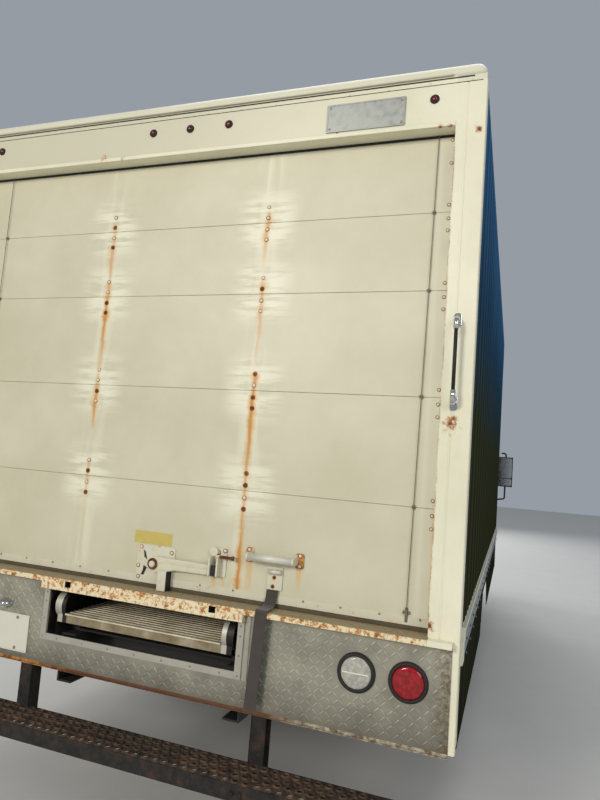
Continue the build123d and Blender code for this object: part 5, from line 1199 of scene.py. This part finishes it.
# Latch: fittings on the CAD plates, with a ringed pivot, a ribbed lever, keeper loops and a roller over the strap
latchSizes = {
    "corners": ((-0.066, 0.178), (0.077, 0.168), (-0.074, 0.102), (-0.070, 0.058)),
    "keeper": ((0.287, 0.196), (0.314, 0.205)),
    "handle": ((0.416, 0.185), (0.416, 0.223), (0.624, 0.185), (0.624, 0.223)),
    "strapPlate": ((0.527, 0.131), (0.523, 0.098)),
    "pivot": (0.004, 1.119),
    "leverFace": doorFaceY - 0.020,
    # the lever's raised rib: x, height
    "rib": ((0.016, 1.131), (0.050, 1.136), (0.250, 1.133), (0.250, 1.128), (0.052, 1.130), (0.018, 1.125)),
    "lowRib": ((0.060, 1.099), (0.105, 1.113), (0.250, 1.115), (0.250, 1.110), (0.106, 1.107), (0.062, 1.092)),
    "rod": (0.300, 0.348, 1.183),
    "roller": (0.505, 0.556, 1.153),
    "tube": (0.432, 0.608, 1.204),
    # the plate's slots, inside their CAD cuts, filled with dark plates as painted shade
    "slots": (((-0.055, 1.167), (-0.045, 1.160), (-0.035, 1.129), (-0.049, 1.138)),
              ((-0.050, 1.105), (-0.033, 1.098), (-0.046, 1.065), (-0.061, 1.061), (-0.052, 1.084))),
    "brackets": ((0.402, 0.434), (0.606, 0.640)),
    "bracketZ": (1.176, 1.232),
    # dark blocks beside the lever, painted shade in the gaps: x, distance from the door face, height
    "gaps": (((0.08, 0.0835), (-0.038, -0.002), (1.023, 1.098)), ((0.2662, 0.291), (-0.024, -0.0195), (1.106, 1.146))),
}


def dressLatch(sizes):
    for name, tree, groups, radius, height in (
            ("latchBolts", paleBolts, (("corners", 0.004),), 0.0065, 0.004),
            ("keeperBolts", paleBolts, (("keeper", 0.005), ("handle", 0.004)), 0.0068, 0.005),
            ("strapPlateScrews", rustyBolts, (("strapPlate", 0.006),), 0.0055, 0.003)):
        places = [(x, doorFaceY - reach, deckLineZ + z) for group, reach in groups for x, z in sizes[group]]
        addHeads(name, tree, places, radius, height)
    # pivot: a rusty ring sunk round a painted stud
    x, z = sizes["pivot"]
    build = bmesh.new()
    addLathe(build, (x, doorFaceY - 0.0295, z), (0, -1, 0), ((0.0, 0.0), (0.0, 0.0115), (0.003, 0.0110),
            (0.0045, 0.0085), (0.0045, 0.0)), 24)
    for rib in (sizes["rib"], sizes["lowRib"]):
        addPlate(build, [(px, sizes["leverFace"] + 0.0002, pz) for px, pz in rib], (0, -0.0032, 0))
    endPiece(build, "leverRibs", "latch zinc", "galvanised_steel")
    build = bmesh.new()
    addLathe(build, (x, doorFaceY - 0.0238, z), (0, -1, 0), ((0.0, 0.013), (0.0, 0.0235), (0.0016, 0.0225),
            (0.0016, 0.013), (0.0, 0.013)), 28)
    # keeper bolt with its worn end, and washers of the handle's brackets
    low, high, rodZ = sizes["rod"]
    addLathe(build, (low, doorFaceY - 0.022, rodZ), (1, 0, 0), ((0.0, 0.0), (0.0, 0.0058), (high - low, 0.0058),
            (high - low + 0.004, 0.0085), (high - low + 0.012, 0.0085), (high - low + 0.014, 0.0)), 14)
    endPiece(build, "latchRings", "dark bolt rust", "galvanised_steel", smooth=True)
    # dark plates in the cuts and dark blocks in the gaps stand in for the shade there: painted shade
    build = bmesh.new()
    for slot in sizes["slots"]:
        addPlate(build, [(px, doorFaceY + 0.0002, pz) for px, pz in slot], (0, -0.0012, 0))
    for x, (near, far), z in sizes["gaps"]:
        addBlock(build, x, (doorFaceY + near, doorFaceY + far), z)
    endPiece(build, "latchGaps", "extruded black rubber", "tyre_rubber")
    build = bmesh.new()
    for x in sizes["brackets"]:
        addPlate(build, roundedLoop(upright(x, doorFaceY, sizes["bracketZ"]), 0.010), (0, -0.0048, 0))
    endPiece(build, "handleBrackets", "bracket rust", "galvanised_steel", soft=0.001)
    build = bmesh.new()
    for part, reach, radius, turns in (("roller", 0.012, 0.0095, 18), ("tube", 0.046, 0.0150, 28)):
        low, high, z = sizes[part]
        addLathe(build, (low, doorFaceY - reach, z), (1, 0, 0), rod(high - low, radius), turns)
    endPiece(build, "handleSleeve", "zinc-plated tube", "galvanised_steel", smooth=True)


finishes["bracket rust"] = makeRust("rusted handle bracket with paint left",
                                    ((0.36, "#D8D2BA"), (0.46, "#C98A3E"), (0.56, "#8E4E1C"), (0.68, "#5A2E14")), 0.6)
dressLatch(latchSizes)

# Grab handle: chromed end castings on the pillar, a black dipped bar between them
handleSizes = {
    "x": 1.160,
    "feet": (deckLineZ + 0.817, deckLineZ + 1.113),
    "foot": (0.013, 0.025, 0.005),
    "reach": 0.048,
    "bend": 0.022,
    "sleeve": 0.030,
    "barRadius": 0.0065,
    "castingRadius": 0.0095,
}


def makeGrabHandle(sizes):
    x, gripY = sizes["x"], rearY - sizes["reach"]
    wide, tall, thick = sizes["foot"]
    middle = (sizes["feet"][0] + sizes["feet"][1]) / 2
    plates = bmesh.new()
    screws = []
    for name, z in zip(("lowHandleCasting", "highHandleCasting"), sizes["feet"]):
        turn = 1 if z < middle else -1
        start, corner = Vector((x, rearY - 0.001, z)), Vector((x, gripY, z))
        first, last = corner + Vector((0, sizes["bend"], 0)), corner + Vector((0, 0, turn * sizes["bend"]))
        arc = [(1 - t) ** 2 * first + 2 * t * (1 - t) * corner + t ** 2 * last for t in (0, 0.2, 0.4, 0.6, 0.8, 1)]
        end = last + Vector((0, 0, turn * (sizes["sleeve"] - sizes["bend"] * 0.5)))
        addTube(name, [start, *arc, end], sizes["castingRadius"], "chrome plate", "truck", turns=16)
        corners = upright((x - wide, x + wide), rearY, (z - tall, z + tall))
        addPlate(plates, roundedLoop(corners, 0.011), (0, -thick, 0))
        screws += [(x, rearY - thick, z + shift) for shift in (-0.018, 0.018)]
    endPiece(plates, "handleFeet", "chrome plate", "galvanised_steel", replaced=("grab_handle",), soft=0.0012)
    grip = [(x, gripY, z) for z in (sizes["feet"][0] + sizes["bend"], sizes["feet"][1] - sizes["bend"])]
    addTube("handleGrip", grip, sizes["barRadius"], "extruded black rubber", "truck", turns=16)
    addHeads("handleScrews", zincHeads, screws, 0.0036, 0.0018)


makeGrabHandle(handleSizes)

# Pull strap: webbing from the plate on the lowest panel, over the sill's lip and down in front of the apron
strapSizes = {
    "x": (0.486, 0.532),
    "thickness": 0.0028,
    "drift": 0.018,
    "line": (
        # behind the door face or the lip (m), height above the deck line (m)
        (doorFaceY - 0.009, 0.086), (doorFaceY - 0.010, 0.060), (doorFaceY - 0.017, 0.042),
        (doorFaceY - 0.030, 0.032), (doorFaceY - 0.050, 0.028), (doorFaceY - 0.072, 0.0265),
        (sillLipY + 0.004, 0.0262), (sillLipY - 0.0015, 0.0235), (sillLipY - 0.0038, 0.017),
        (sillLipY - 0.0042, 0.000), (sillLipY - 0.0040, -0.05), (sillLipY - 0.0036, -0.11),
        (sillLipY - 0.0034, -0.18), (sillLipY - 0.0038, -0.25), (sillLipY - 0.0042, -0.322),
    ),
}


def makeStrap(sizes):
    low, high = sizes["x"]
    columns = 6
    fine = []
    for (y0, z0), (y1, z1) in zip(sizes["line"], sizes["line"][1:]):
        parts = max(1, round(math.hypot(y1 - y0, z1 - z0) / 0.008))
        fine += [(y0 + (y1 - y0) * i / parts, z0 + (z1 - z0) * i / parts) for i in range(parts)]
    fine.append(sizes["line"][-1])
    drop = sizes["line"][0][1] - sizes["line"][-1][1]
    build = bmesh.new()
    rows = []
    for index, (y, z) in enumerate(fine):
        # hangs a little to the left as it falls
        shift = sizes["drift"] * (fine[0][1] - z) / drop
        rows.append([build.verts.new((low + 0.016 + (high - low) * i / columns - shift, y, deckLineZ + z))
                     for i in range(columns + 1)])
    joinRows(build, rows)
    strap = closeMesh(build, "webbingStrap", finishes["webbing"])
    solid = strap.modifiers.new("webbingThickness", "SOLIDIFY")
    solid.thickness = sizes["thickness"]
    solid.offset = 0.0
    settle(strap, "truck", ("pull_strap",))


makeStrap(strapSizes)
print("signs, latch and strap ready")

# Step bumper: punched tread between folded flanges on rusty channel legs, darkened as painted shade
stepSizes = {
    "half": 1.118,
    "backY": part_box("step_bumper")[0].y,
    "depth": 0.165,
    "topZ": 0.480,
    "flange": 0.055,
    "sheet": 0.003,
    "rows": 4,
    "columns": 56,
    "holeRadius": 0.0125,
    "collarRise": 0.0045,
    "wall": 0.004,
    "lip": 0.018,
    "legX": (0.500, 0.560),
    "legDepth": 0.060,
    "legWall": 0.006,
    "legZ": (0.655, 0.662, 0.709),
}


def makeTreadCell(sizes, pitchX, pitchY):
    # One square of the tread: a hole with a raised collar round it
    build = bmesh.new()
    ring = [(math.cos(math.pi * i / 4), math.sin(math.pi * i / 4)) for i in range(8)]
    square = [(0.5, 0.0), (0.5, 0.5), (0.0, 0.5), (-0.5, 0.5), (-0.5, 0.0), (-0.5, -0.5), (0.0, -0.5), (0.5, -0.5)]
    hole = sizes["holeRadius"]
    top, foot = sizes["collarRise"], -sizes["sheet"]
    levels = ((square, pitchX, pitchY, 0.0), (ring, hole * 1.45, hole * 1.45, 0.0),
              (ring, hole * 1.12, hole * 1.12, top), (ring, hole * 0.92, hole * 0.92, top - 0.0003),
              (ring, hole, hole, foot), (square, pitchX, pitchY, foot))
    rings = [[build.verts.new((x * wide, y * deep, z)) for x, y in loop] for loop, wide, deep, z in levels]
    joinRows(build, rings, True)
    mesh = bpy.data.meshes.new("treadCell")
    build.to_mesh(mesh)
    build.free()
    cell = bpy.data.objects.new("treadCell", mesh)
    scene.collection.objects.link(cell)
    return cell


def makeStep(sizes):
    tree, add, given = newTree("punchedTread", (("Cell", "Object", None), ("Weld", "Float", 0.0004)))
    cell = add("GeometryNodeObjectInfo", {"Object": given["Cell"]}, output="Geometry")
    cells = add("GeometryNodeInstanceOnPoints", {"Points": given["Geometry"], "Instance": cell})
    cells = add("GeometryNodeRealizeInstances", {"Geometry": cells})
    cells = add("GeometryNodeMergeByDistance", {"Geometry": cells, "Distance": given["Weld"]})
    endTree(tree, cells, finishes["tread rust"])
    pitchX = 2 * (sizes["half"] - 0.004) / sizes["columns"]
    pitchY = (sizes["depth"] - 0.010) / sizes["rows"]
    cell = makeTreadCell(sizes, pitchX, pitchY)
    frontY = sizes["backY"] + sizes["depth"]
    points = [((column + 0.5 - sizes["columns"] / 2) * pitchX, sizes["backY"] + 0.005 + (row + 0.5) * pitchY,
               sizes["topZ"]) for row in range(sizes["rows"]) for column in range(sizes["columns"])]
    # every second row is half a pitch over, one cell shorter
    points = [(x + pitchX * 0.5 * (round((y - sizes["backY"]) / pitchY) % 2), y, z) for x, y, z in points]
    points = [point for point in points if point[0] < sizes["half"] - pitchX * 0.4]
    tread = growPiece("stepTread", tree, points, {"Cell": cell, "Weld": 0.0004}, "truck",
                      replaced=("step_bumper",))
    bpy.data.objects.remove(cell)
    build = bmesh.new()
    build.from_mesh(tread.data)
    edges = [edge for edge in build.edges if edge.is_boundary]
    bmesh.ops.bridge_loops(build, edges=edges)
    bmesh.ops.recalc_face_normals(build, faces=build.faces)
    build.to_mesh(tread.data)
    build.free()
    # flanges with a rolled lip, end plates and legs
    build = bmesh.new()
    foot, top = sizes["topZ"] - sizes["flange"], sizes["topZ"]
    half, wall = sizes["half"], sizes["wall"]
    for y, turn in ((sizes["backY"], 1), (frontY, -1)):
        inner = y + turn * wall
        addBlock(build, (-half, half), (y, inner), (foot, top + 0.001))
        addBlock(build, (-half, half), (inner, y + turn * sizes["lip"]), (foot, foot + wall))
    for side in (-1, 1):
        addBlock(build, (side * (half + 0.002), side * (half - wall)), (sizes["backY"], frontY), (foot, top + 0.001))
    # the staggered rows' ends
    for side in (-1, 1):
        addBlock(build, (side * half, side * (half - pitchX)), (sizes["backY"] + wall, frontY - wall),
                 (top - sizes["sheet"], top - 0.0005))
    endPiece(build, "stepFlanges", "step rust with painted shade", "rusty_steel", soft=0.0015)
    build = bmesh.new()
    back, wall = frontY - wall, sizes["legWall"]
    ahead = back + sizes["legDepth"]
    crossFoot, legHead, crossHead = sizes["legZ"]
    for side in (-1, 1):
        near, far = (side * x for x in sizes["legX"])
        addBlock(build, (near, near + side * wall), (back, ahead), (foot, legHead))
        addBlock(build, (near, far), (back, back + wall), (foot, legHead))
        addBlock(build, (near, far), (ahead - wall, ahead), (foot, legHead))
        addBlock(build, (near, far), (rearY + 0.052, ahead), (crossFoot, crossHead))
        # foot plate under the tread
        addBlock(build, (min(near, far) - 0.01, max(near, far) + 0.01), (sizes["backY"] + 0.02, back + wall),
                 (top - 0.01, top - 0.004))
    endPiece(build, "stepLegs", "step rust with painted shade", "rusty_steel", soft=0.002)
    bolts = [(side * (sizes["legX"][0] + offset), sizes["backY"] - 0.0005, sizes["topZ"] - 0.028) for side in (-1, 1)
             for offset in (0.015, 0.045)]
    addHeads("stepBolts", stepHeads, bolts, 0.008, 0.006)


makeStep(stepSizes)
print("step ready")

# Ramp: cross ridges on its deck plate
rampSizes = {
    "x": (-0.378, 0.342),
    "y": (-3.236, -2.75),
    "top": 0.866,
    "pitch": 0.028,
    "ridge": 0.006,
}


def dressRamp(sizes):
    ridges = makeBarTree("rampRidges", finishes["ramp ridges"], 1)
    middle = (sizes["x"][0] + sizes["x"][1]) / 2
    places = [(middle, y, sizes["top"]) for y in spaced(*sizes["y"], sizes["pitch"])]
    size = (sizes["x"][1] - sizes["x"][0], sizes["pitch"] * 0.45, sizes["ridge"])
    growPiece("rampRidges", ridges, places, {"Size": size}, "ramp", [0.0] * len(places))


dressRamp(rampSizes)

# Sides: rivets along the top rail and above the rub rail, a bracket on the rub rail's rear end
sideSizes = {
    "topZ": 3.056,
    "lowZ": 1.048,
    "railZ": (0.935, 0.985),
    "pitch": 0.102,
    "bracketY": (rearY + 0.068, rearY + 0.138),
    "bracketZ": (0.928, 1.003),
}


def dressSides(sizes):
    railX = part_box("body_rails")[1].x
    for side, name in bothSides:
        rows = [(side * bodyHalf, y, sizes["lowZ"]) for y in spaced(rearY + 0.06, bodyFrontY - 0.06, sizes["pitch"])]
        addHeads(name + "SideRivets", paintedHeads, rows, 0.006, 0.003, facing=side)
        rows = [(side * railX, y, z) for z in sizes["railZ"]
                for y in spaced(rearY + 0.22, bodyFrontY - 0.10, sizes["pitch"] * 2)]
        addHeads(name + "RubRailRivets", paintedHeads, rows, 0.006, 0.003, facing=side)
    build = bmesh.new()
    y, z = sizes["bracketY"], sizes["bracketZ"]
    for side in (-1, 1):
        across = (side * (bodyHalf - 0.001), side * (bodyHalf + 0.010))
        addBlock(build, across, (y[0], y[0] + 0.03), z)
        addBlock(build, across, (y[0] + 0.04, y[1]), z)
    endPiece(build, "railBrackets", "rail enamel", "body_paint", soft=0.002)


dressSides(sideSizes)
print("ramp and sides dressed")

# Tyres: a lathe with three ribs, blocks round each shoulder, rings on the walls
tyreSizes = {
    "radius": 0.386,
    "turns": 96,
    "blocks": 56,
    "blockLength": 0.033,
    "blockWidth": 0.027,
    "blockX": 0.0725,
    "grooveDepth": 0.009,
    # distance from the middle plane, radius; the other side is its mirror
    "profile": ((0.0, 0.3860), (0.0135, 0.3859), (0.0150, 0.3775), (0.0210, 0.3775), (0.0225, 0.3857),
                (0.0490, 0.3850), (0.0505, 0.3770), (0.0580, 0.3765), (0.0870, 0.3762), (0.0935, 0.3690),
                (0.0985, 0.3580), (0.0990, 0.3545), (0.1020, 0.3440), (0.1050, 0.3250), (0.1072, 0.3000),
                (0.1060, 0.2780), (0.1040, 0.2640), (0.1052, 0.2620), (0.1048, 0.2580), (0.1020, 0.2550),
                (0.0950, 0.2360), (0.0880, 0.2260), (0.0842, 0.2190), (0.0768, 0.2186), (0.0768, 0.2045),
                (0.0600, 0.2042)),
    "sets": (
        # piece, node, body, middle planes
        ("leftFrontTyre", "left_front_tyre", "left_front_wheel", (-0.8315,)),
        ("rightFrontTyre", "right_front_tyre", "right_front_wheel", (0.8315,)),
        ("leftRearTyres", "left_rear_tyre", "left_rear_wheels", (-0.9465, -0.7025)),
        ("rightRearTyres", "right_rear_tyre", "right_rear_wheels", (0.7025, 0.9465)),
    ),
}


def makeTyres(sizes):
    # blocks on each shoulder, turned about X to face outwards
    tree = makeBarTree("shoulderBlocks", finishes["tyre rubber"], 0)
    blockHeight = sizes["grooveDepth"] + 0.006
    reach = sizes["radius"] - 0.0006 - blockHeight / 2
    for name, node, body, middles in sizes["sets"]:
        centre = middleOf(node)
        build = bmesh.new()
        points, leans = [], []
        for middle in middles:
            half = sizes["profile"]
            ring = [(-x, r) for x, r in reversed(half)] + [(x, r) for x, r in half[1:]]
            addLathe(build, (middle, centre[0], centre[1]), (1, 0, 0), ring + [ring[0]], sizes["turns"])
            for shoulder in (-1, 1):
                for i in range(sizes["blocks"]):
                    turn = 2 * math.pi * (i + 0.25 * shoulder) / sizes["blocks"]
                    points.append((middle + shoulder * sizes["blockX"],
                                   centre[0] + reach * math.cos(turn), centre[1] + reach * math.sin(turn)))
                    leans.append(turn - math.pi / 2)
        endPiece(build, name, "tyre rubber", "tyre_rubber", body=body, replaced=(node,), smooth=True)
        growPiece(name + "Blocks", tree, points, {"Size": (sizes["blockWidth"], sizes["blockLength"], blockHeight)},
                  body, leans)


makeTyres(tyreSizes)

# Wheel nuts: six on each hub
nutSizes = {
    "count": 6,
    "circle": 0.093,
    "sets": (
        ("leftFrontNuts", "left_front_tyre", "left_front_wheel", -0.9545, -1),
        ("rightFrontNuts", "right_front_tyre", "right_front_wheel", 0.9545, 1),
        ("leftRearNuts", "left_rear_tyre", "left_rear_wheels", -0.8355, -1),
        ("rightRearNuts", "right_rear_tyre", "right_rear_wheels", 0.8355, 1),
    ),
}


def makeNuts(sizes):
    turns = [2 * math.pi * i / sizes["count"] for i in range(sizes["count"])]
    for name, node, body, face, side in sizes["sets"]:
        y, z = middleOf(node)
        places = [(face, y + sizes["circle"] * math.cos(turn), z + sizes["circle"] * math.sin(turn)) for turn in turns]
        addHeads(name, hexNuts, places, 0.0135, 0.011, facing=side, body=body)


makeNuts(nutSizes)
print("tyres and nuts ready")

# Seats: crowned cushions with sewn channels
seatSizes = {
    "x": (0.192, 0.658),
    "squabY": (1.916, 2.432),
    "squabZ": (1.1062, 1.238),
    "backFoot": (1.916, 2.046, 1.232),
    "backHead": (1.876, 1.976, 1.858),
    "channels": (-0.52, 0.0, 0.52),
}


def makeCushion(name, corners, sizes):
    # A crowned form: its sides pull in between the corners; corners gives a box that may lean
    build = bmesh.new()
    bmesh.ops.create_cube(build, size=2.0)
    bmesh.ops.subdivide_edges(build, edges=build.edges[:], cuts=19, use_grid_fill=True)
    for vert in build.verts:
        u, v, w = vert.co
        # squash the block's faces towards a pillow: thick in the middle, thin and drawn in at the edges
        lift = (1 - abs(u) ** 3.2) * (1 - abs(v) ** 3.2)
        thick = w * (0.62 + 0.38 * max(0.0, lift) ** 0.42)
        sew = sum(math.exp(-((u - line) / 0.035) ** 2) for line in sizes["channels"])
        edge = min(1.0, (1 - abs(v)) * 4)
        if w > 0.5:
            thick -= sew * edge * 0.10
        pull = 1 - 0.035 * (1 - abs(v) ** 2) * abs(u) ** 6 - 0.02 * abs(w) ** 4
        draw = 1 - 0.035 * (1 - abs(u) ** 2) * abs(v) ** 6 - 0.02 * abs(w) ** 4
        vert.co = corners(u * pull, v * draw, thick)
    cushion = closeMesh(build, name, finishes["seat cloth"], True)
    smooth = cushion.modifiers.new("softened", "SUBSURF")
    smooth.levels = 1
    smooth.render_levels = 1
    return cushion


def makeSeats(sizes):
    footBack, footFront, footZ = sizes["backFoot"]
    headBack, headFront, headZ = sizes["backHead"]
    for side, word in bothSides:
        middle = side * (sizes["x"][0] + sizes["x"][1]) / 2
        halfX = (sizes["x"][1] - sizes["x"][0]) / 2

        def squabPlace(u, v, w):
            y = (sizes["squabY"][0] + sizes["squabY"][1]) / 2 + v * (sizes["squabY"][1] - sizes["squabY"][0]) / 2
            base, top = sizes["squabZ"]
            if w < 0:
                return (middle + u * halfX, y, (base + top) / 2 + (base - top) / 2 * min(1.0, -w * 1.25))
            return (middle + u * halfX, y, (base + top) / 2 + w * (top - base) / 2)

        def backPlace(u, v, w):
            share = (v + 1) / 2
            z = footZ + share * (headZ - footZ)
            low = footBack + share * (headBack - footBack)
            high = footFront + share * (headFront - footFront)
            narrow = 1 - 0.10 * share ** 3
            return (middle + u * halfX * narrow, (low + high) / 2 + w * (high - low) / 2, z)

        for name, place in ((word + "SeatSquab", squabPlace), (word + "SeatBack", backPlace)):
            cushion = makeCushion(name, place, sizes)
            settle(cushion, "cab", ("seats",) if name == "leftSeatSquab" else ())


makeSeats(seatSizes)
print("seats ready")

# Cab outside: gaskets, wipers, door handles, indicators, mirror glass, headlamps
cabSizes = {
    "front": 3.374,
    "bow": 26.05,
    "screenFoot": (3.354, 1.400),
    "slope": math.radians(22),
    "screenOutline": ((-0.858, 1.452), (-0.798, 2.098), (0.798, 2.098), (0.858, 1.452)),
    "gasket": 0.011,
    "rearY": 1.759,
    "rearHalf": 0.520,
    "rearZ": (1.500, 2.000),
    "sideX": 1.020,
    "handleY": (2.075, 2.205),
    "handleZ": 1.305,
    "mirrorX": (1.190, 1.350),
    "mirrorY": 3.194,
    "mirrorZ": (1.475, 1.835),
    "lampX": (0.632, 0.928),
    "lampZ": (0.717, 0.863),
    "wipers": ((-0.62, -0.22), (0.02, 0.44)),
    # arm: height, lift off the glass; blade: offset from the arm's tip, height, lift
    "wiperArm": ((1.425, 0.020), (1.47, 0.030), (1.62, 0.022)),
    "wiperBlade": ((-0.20, 1.545, 0.010), (0.0, 1.62, 0.013), (0.20, 1.695, 0.010)),
    "reflectors": (0.705, 0.845),
    "bowl": ((0.0, 0.0), (0.0, 0.062), (0.0075, 0.062), (0.0078, 0.058), (0.0035, 0.045), (0.0018, 0.02),
             (0.006, 0.012), (0.0065, 0.0)),
    "indicatorX": (0.700, 0.905),
    "indicatorZ": (0.885, 0.928),
}


def makeCabTrim(sizes):
    screen = lambda z, lift=0.0: sizes["screenFoot"][0] - (z - sizes["screenFoot"][1]) * math.tan(sizes["slope"]) + lift
    outline = [(x, screen(z, -0.002), z) for x, z in sizes["screenOutline"]]
    addTube("screenGasket", roundedLoop(outline, 0.07), sizes["gasket"], "extruded black rubber", "cab",
            True)
    outline = upright((-sizes["rearHalf"], sizes["rearHalf"]), sizes["rearY"] + 0.002, sizes["rearZ"])
    addTube("rearGasket", roundedLoop(outline, 0.05), sizes["gasket"] * 0.9, "extruded black rubber", "cab",
            True)
    # wipers lie on the glass, hinged on the cowl
    for (side, word), (foot, tip) in zip(bothSides, sizes["wipers"]):
        arm = [(x, screen(z, lift), z) for x, (z, lift) in zip((foot, foot + 0.06, tip), sizes["wiperArm"])]
        addTube(word + "WiperArm", arm, 0.006, "moulded black polypropylene", "cab")
        blade = [(tip + x, screen(z, lift), z) for x, z, lift in sizes["wiperBlade"]]
        addTube(word + "WiperBlade", blade, 0.0075, "extruded black rubber", "cab")
    for side, word in bothSides:
        face = side * sizes["sideX"]
        y, z = sizes["handleY"], sizes["handleZ"]
        # a pull handle over a shallow cup, and the key barrel behind it
        build = bmesh.new()
        cup = roundedLoop([(face, y[0] - 0.012, z - 0.032), (face, y[1] + 0.012, z - 0.032),
                           (face, y[1] + 0.012, z + 0.032), (face, y[0] - 0.012, z + 0.032)], 0.014)
        addPlate(build, cup, (side * 0.003, 0, 0))
        bar = roundedLoop([(face + side * 0.014, y[0], z - 0.011), (face + side * 0.014, y[1], z - 0.011),
                           (face + side * 0.014, y[1], z + 0.011), (face + side * 0.014, y[0], z + 0.011)], 0.009)
        addPlate(build, bar, (side * 0.012, 0, 0))
        for foot in (y[0] + 0.012, y[1] - 0.012):
            addBlock(build, (face, face + side * 0.016), (foot - 0.009, foot + 0.009), (z - 0.008, z + 0.008))
        addLathe(build, (face, y[0] - 0.030, z), (side, 0, 0), ((0.0, 0.0), (0.0, 0.011), (0.004, 0.0105),
                (0.005, 0.0)), 20)
        endPiece(build, word + "DoorHandle", "moulded black polypropylene", "black_plastic", body=word + "_door",
                 soft=0.0015)
        # mirror glass in a rounded frame
        x0, x1 = (side * x for x in sizes["mirrorX"])
        z0, z1 = sizes["mirrorZ"]
        y = sizes["mirrorY"]
        build = bmesh.new()
        for z in ((z0 + 0.10, z1), (z0, z0 + 0.09)):
            addPlate(build, roundedLoop(upright((x0, x1), y, z), 0.022), (0, -0.0025, 0))
        endPiece(build, word + "MirrorGlass", "chrome plate", "window_glass", body="cab", soft=0.0008)
        # headlamp: dark bowl, two bright reflectors, a clear cover
        bow = lambda x, lift: sizes["front"] - x * x / sizes["bow"] + lift - max(0.0, abs(x) - 0.87) ** 2 * 4
        x0, x1 = sizes["lampX"]
        z0, z1 = sizes["lampZ"]
        columns = [x0 + (x1 - x0) * i / 12 for i in range(13)]
        for piece, lift, rise, inset, finish in (("HeadlampBowl", 0.0, 0.002, 0.0, "moulded black polypropylene"),
                                                 ("HeadlampCover", 0.010, 0.003, 0.004, "headlamp lens")):
            build = bmesh.new()
            places = [min(max(x, x0 + inset), x1 - inset) for x in columns]
            near = [[build.verts.new((side * x, bow(x, lift + step), z)) for x in places]
                    for step, z in ((0.0, z0 + inset), (0.0, z1 - inset), (rise, z1 - inset), (rise, z0 + inset))]
            joinRows(build, near + [near[0]])
            for end in (0, -1):
                build.faces.new([row[end] for row in near])
            stands = ("headlamps",) if piece == "HeadlampBowl" and side < 0 else ()
            endPiece(build, word + piece, finish, "lamp_lens", body="cab", replaced=stands)
        places = [(side * x, bow(x, 0.001), 0.790) for x in sizes["reflectors"]]
        addLathes(word + "HeadlampBowls", "chrome plate", "lamp_lens", places, (0, 1, 0), sizes["bowl"], 32, body="cab")
        # indicator above the headlamp
        build = bmesh.new()
        ring = roundedLoop(upright([side * x for x in sizes["indicatorX"]], 0, sizes["indicatorZ"]), 0.014)
        near = [(p[0], bow(abs(p[0]), 0.0), p[2]) for p in ring]
        addPlate(build, near, (0, 0.009, 0))
        endPiece(build, word + "Indicator", "amber lens", "amber_plastic", body="cab", soft=0.002)


makeCabTrim(cabSizes)
print("cab trim ready")

# Underneath and roof: straps round the tank, seams across the roof sheet
bodySizes = {
    "tankX": (-0.860, -0.425),
    "tankZ": (0.430, 0.735),
    "tankY": (-0.25, 0.49),
    "strap": (0.040, 0.003),
    "roofZ": (3.089, 3.093),
    "roofHalf": 1.145,
    "roofPitch": 1.2,
}


def dressBody(sizes):
    build = bmesh.new()
    x0, x1 = sizes["tankX"]
    z0, z1 = sizes["tankZ"]
    width, gap = Vector((0, sizes["strap"][0], 0)), sizes["strap"][1]
    for y in sizes["tankY"]:
        loop = roundedLoop(upright((x0 - gap, x1 + gap), y - width.y / 2, (z0 - gap, z1 + gap)), 0.045)
        inner = roundedLoop(upright((x0, x1), y - width.y / 2, (z0, z1)), 0.042)
        rings = [[build.verts.new(p) for p in loop], [build.verts.new(p + width) for p in loop],
                 [build.verts.new(p + width) for p in inner], [build.verts.new(p) for p in inner]]
        joinRows(build, rings + [rings[0]], True)
    endPiece(build, "tankStraps", "chassis black on rolled steel", "chassis_paint")
    # roof seams: a low half-round bead where two sheets lap
    seams = [((-sizes["roofHalf"], sizes["roofHalf"]), (y - 0.016, y + 0.016), sizes["roofZ"])
             for y in spaced(rearY + 0.45, bodyFrontY - 0.45, sizes["roofPitch"])]
    addBlocks("roofSeams", "chalky roof aluminium", "roof_sheet", seams, soft=0.0015)


dressBody(bodySizes)
print("body dressed")
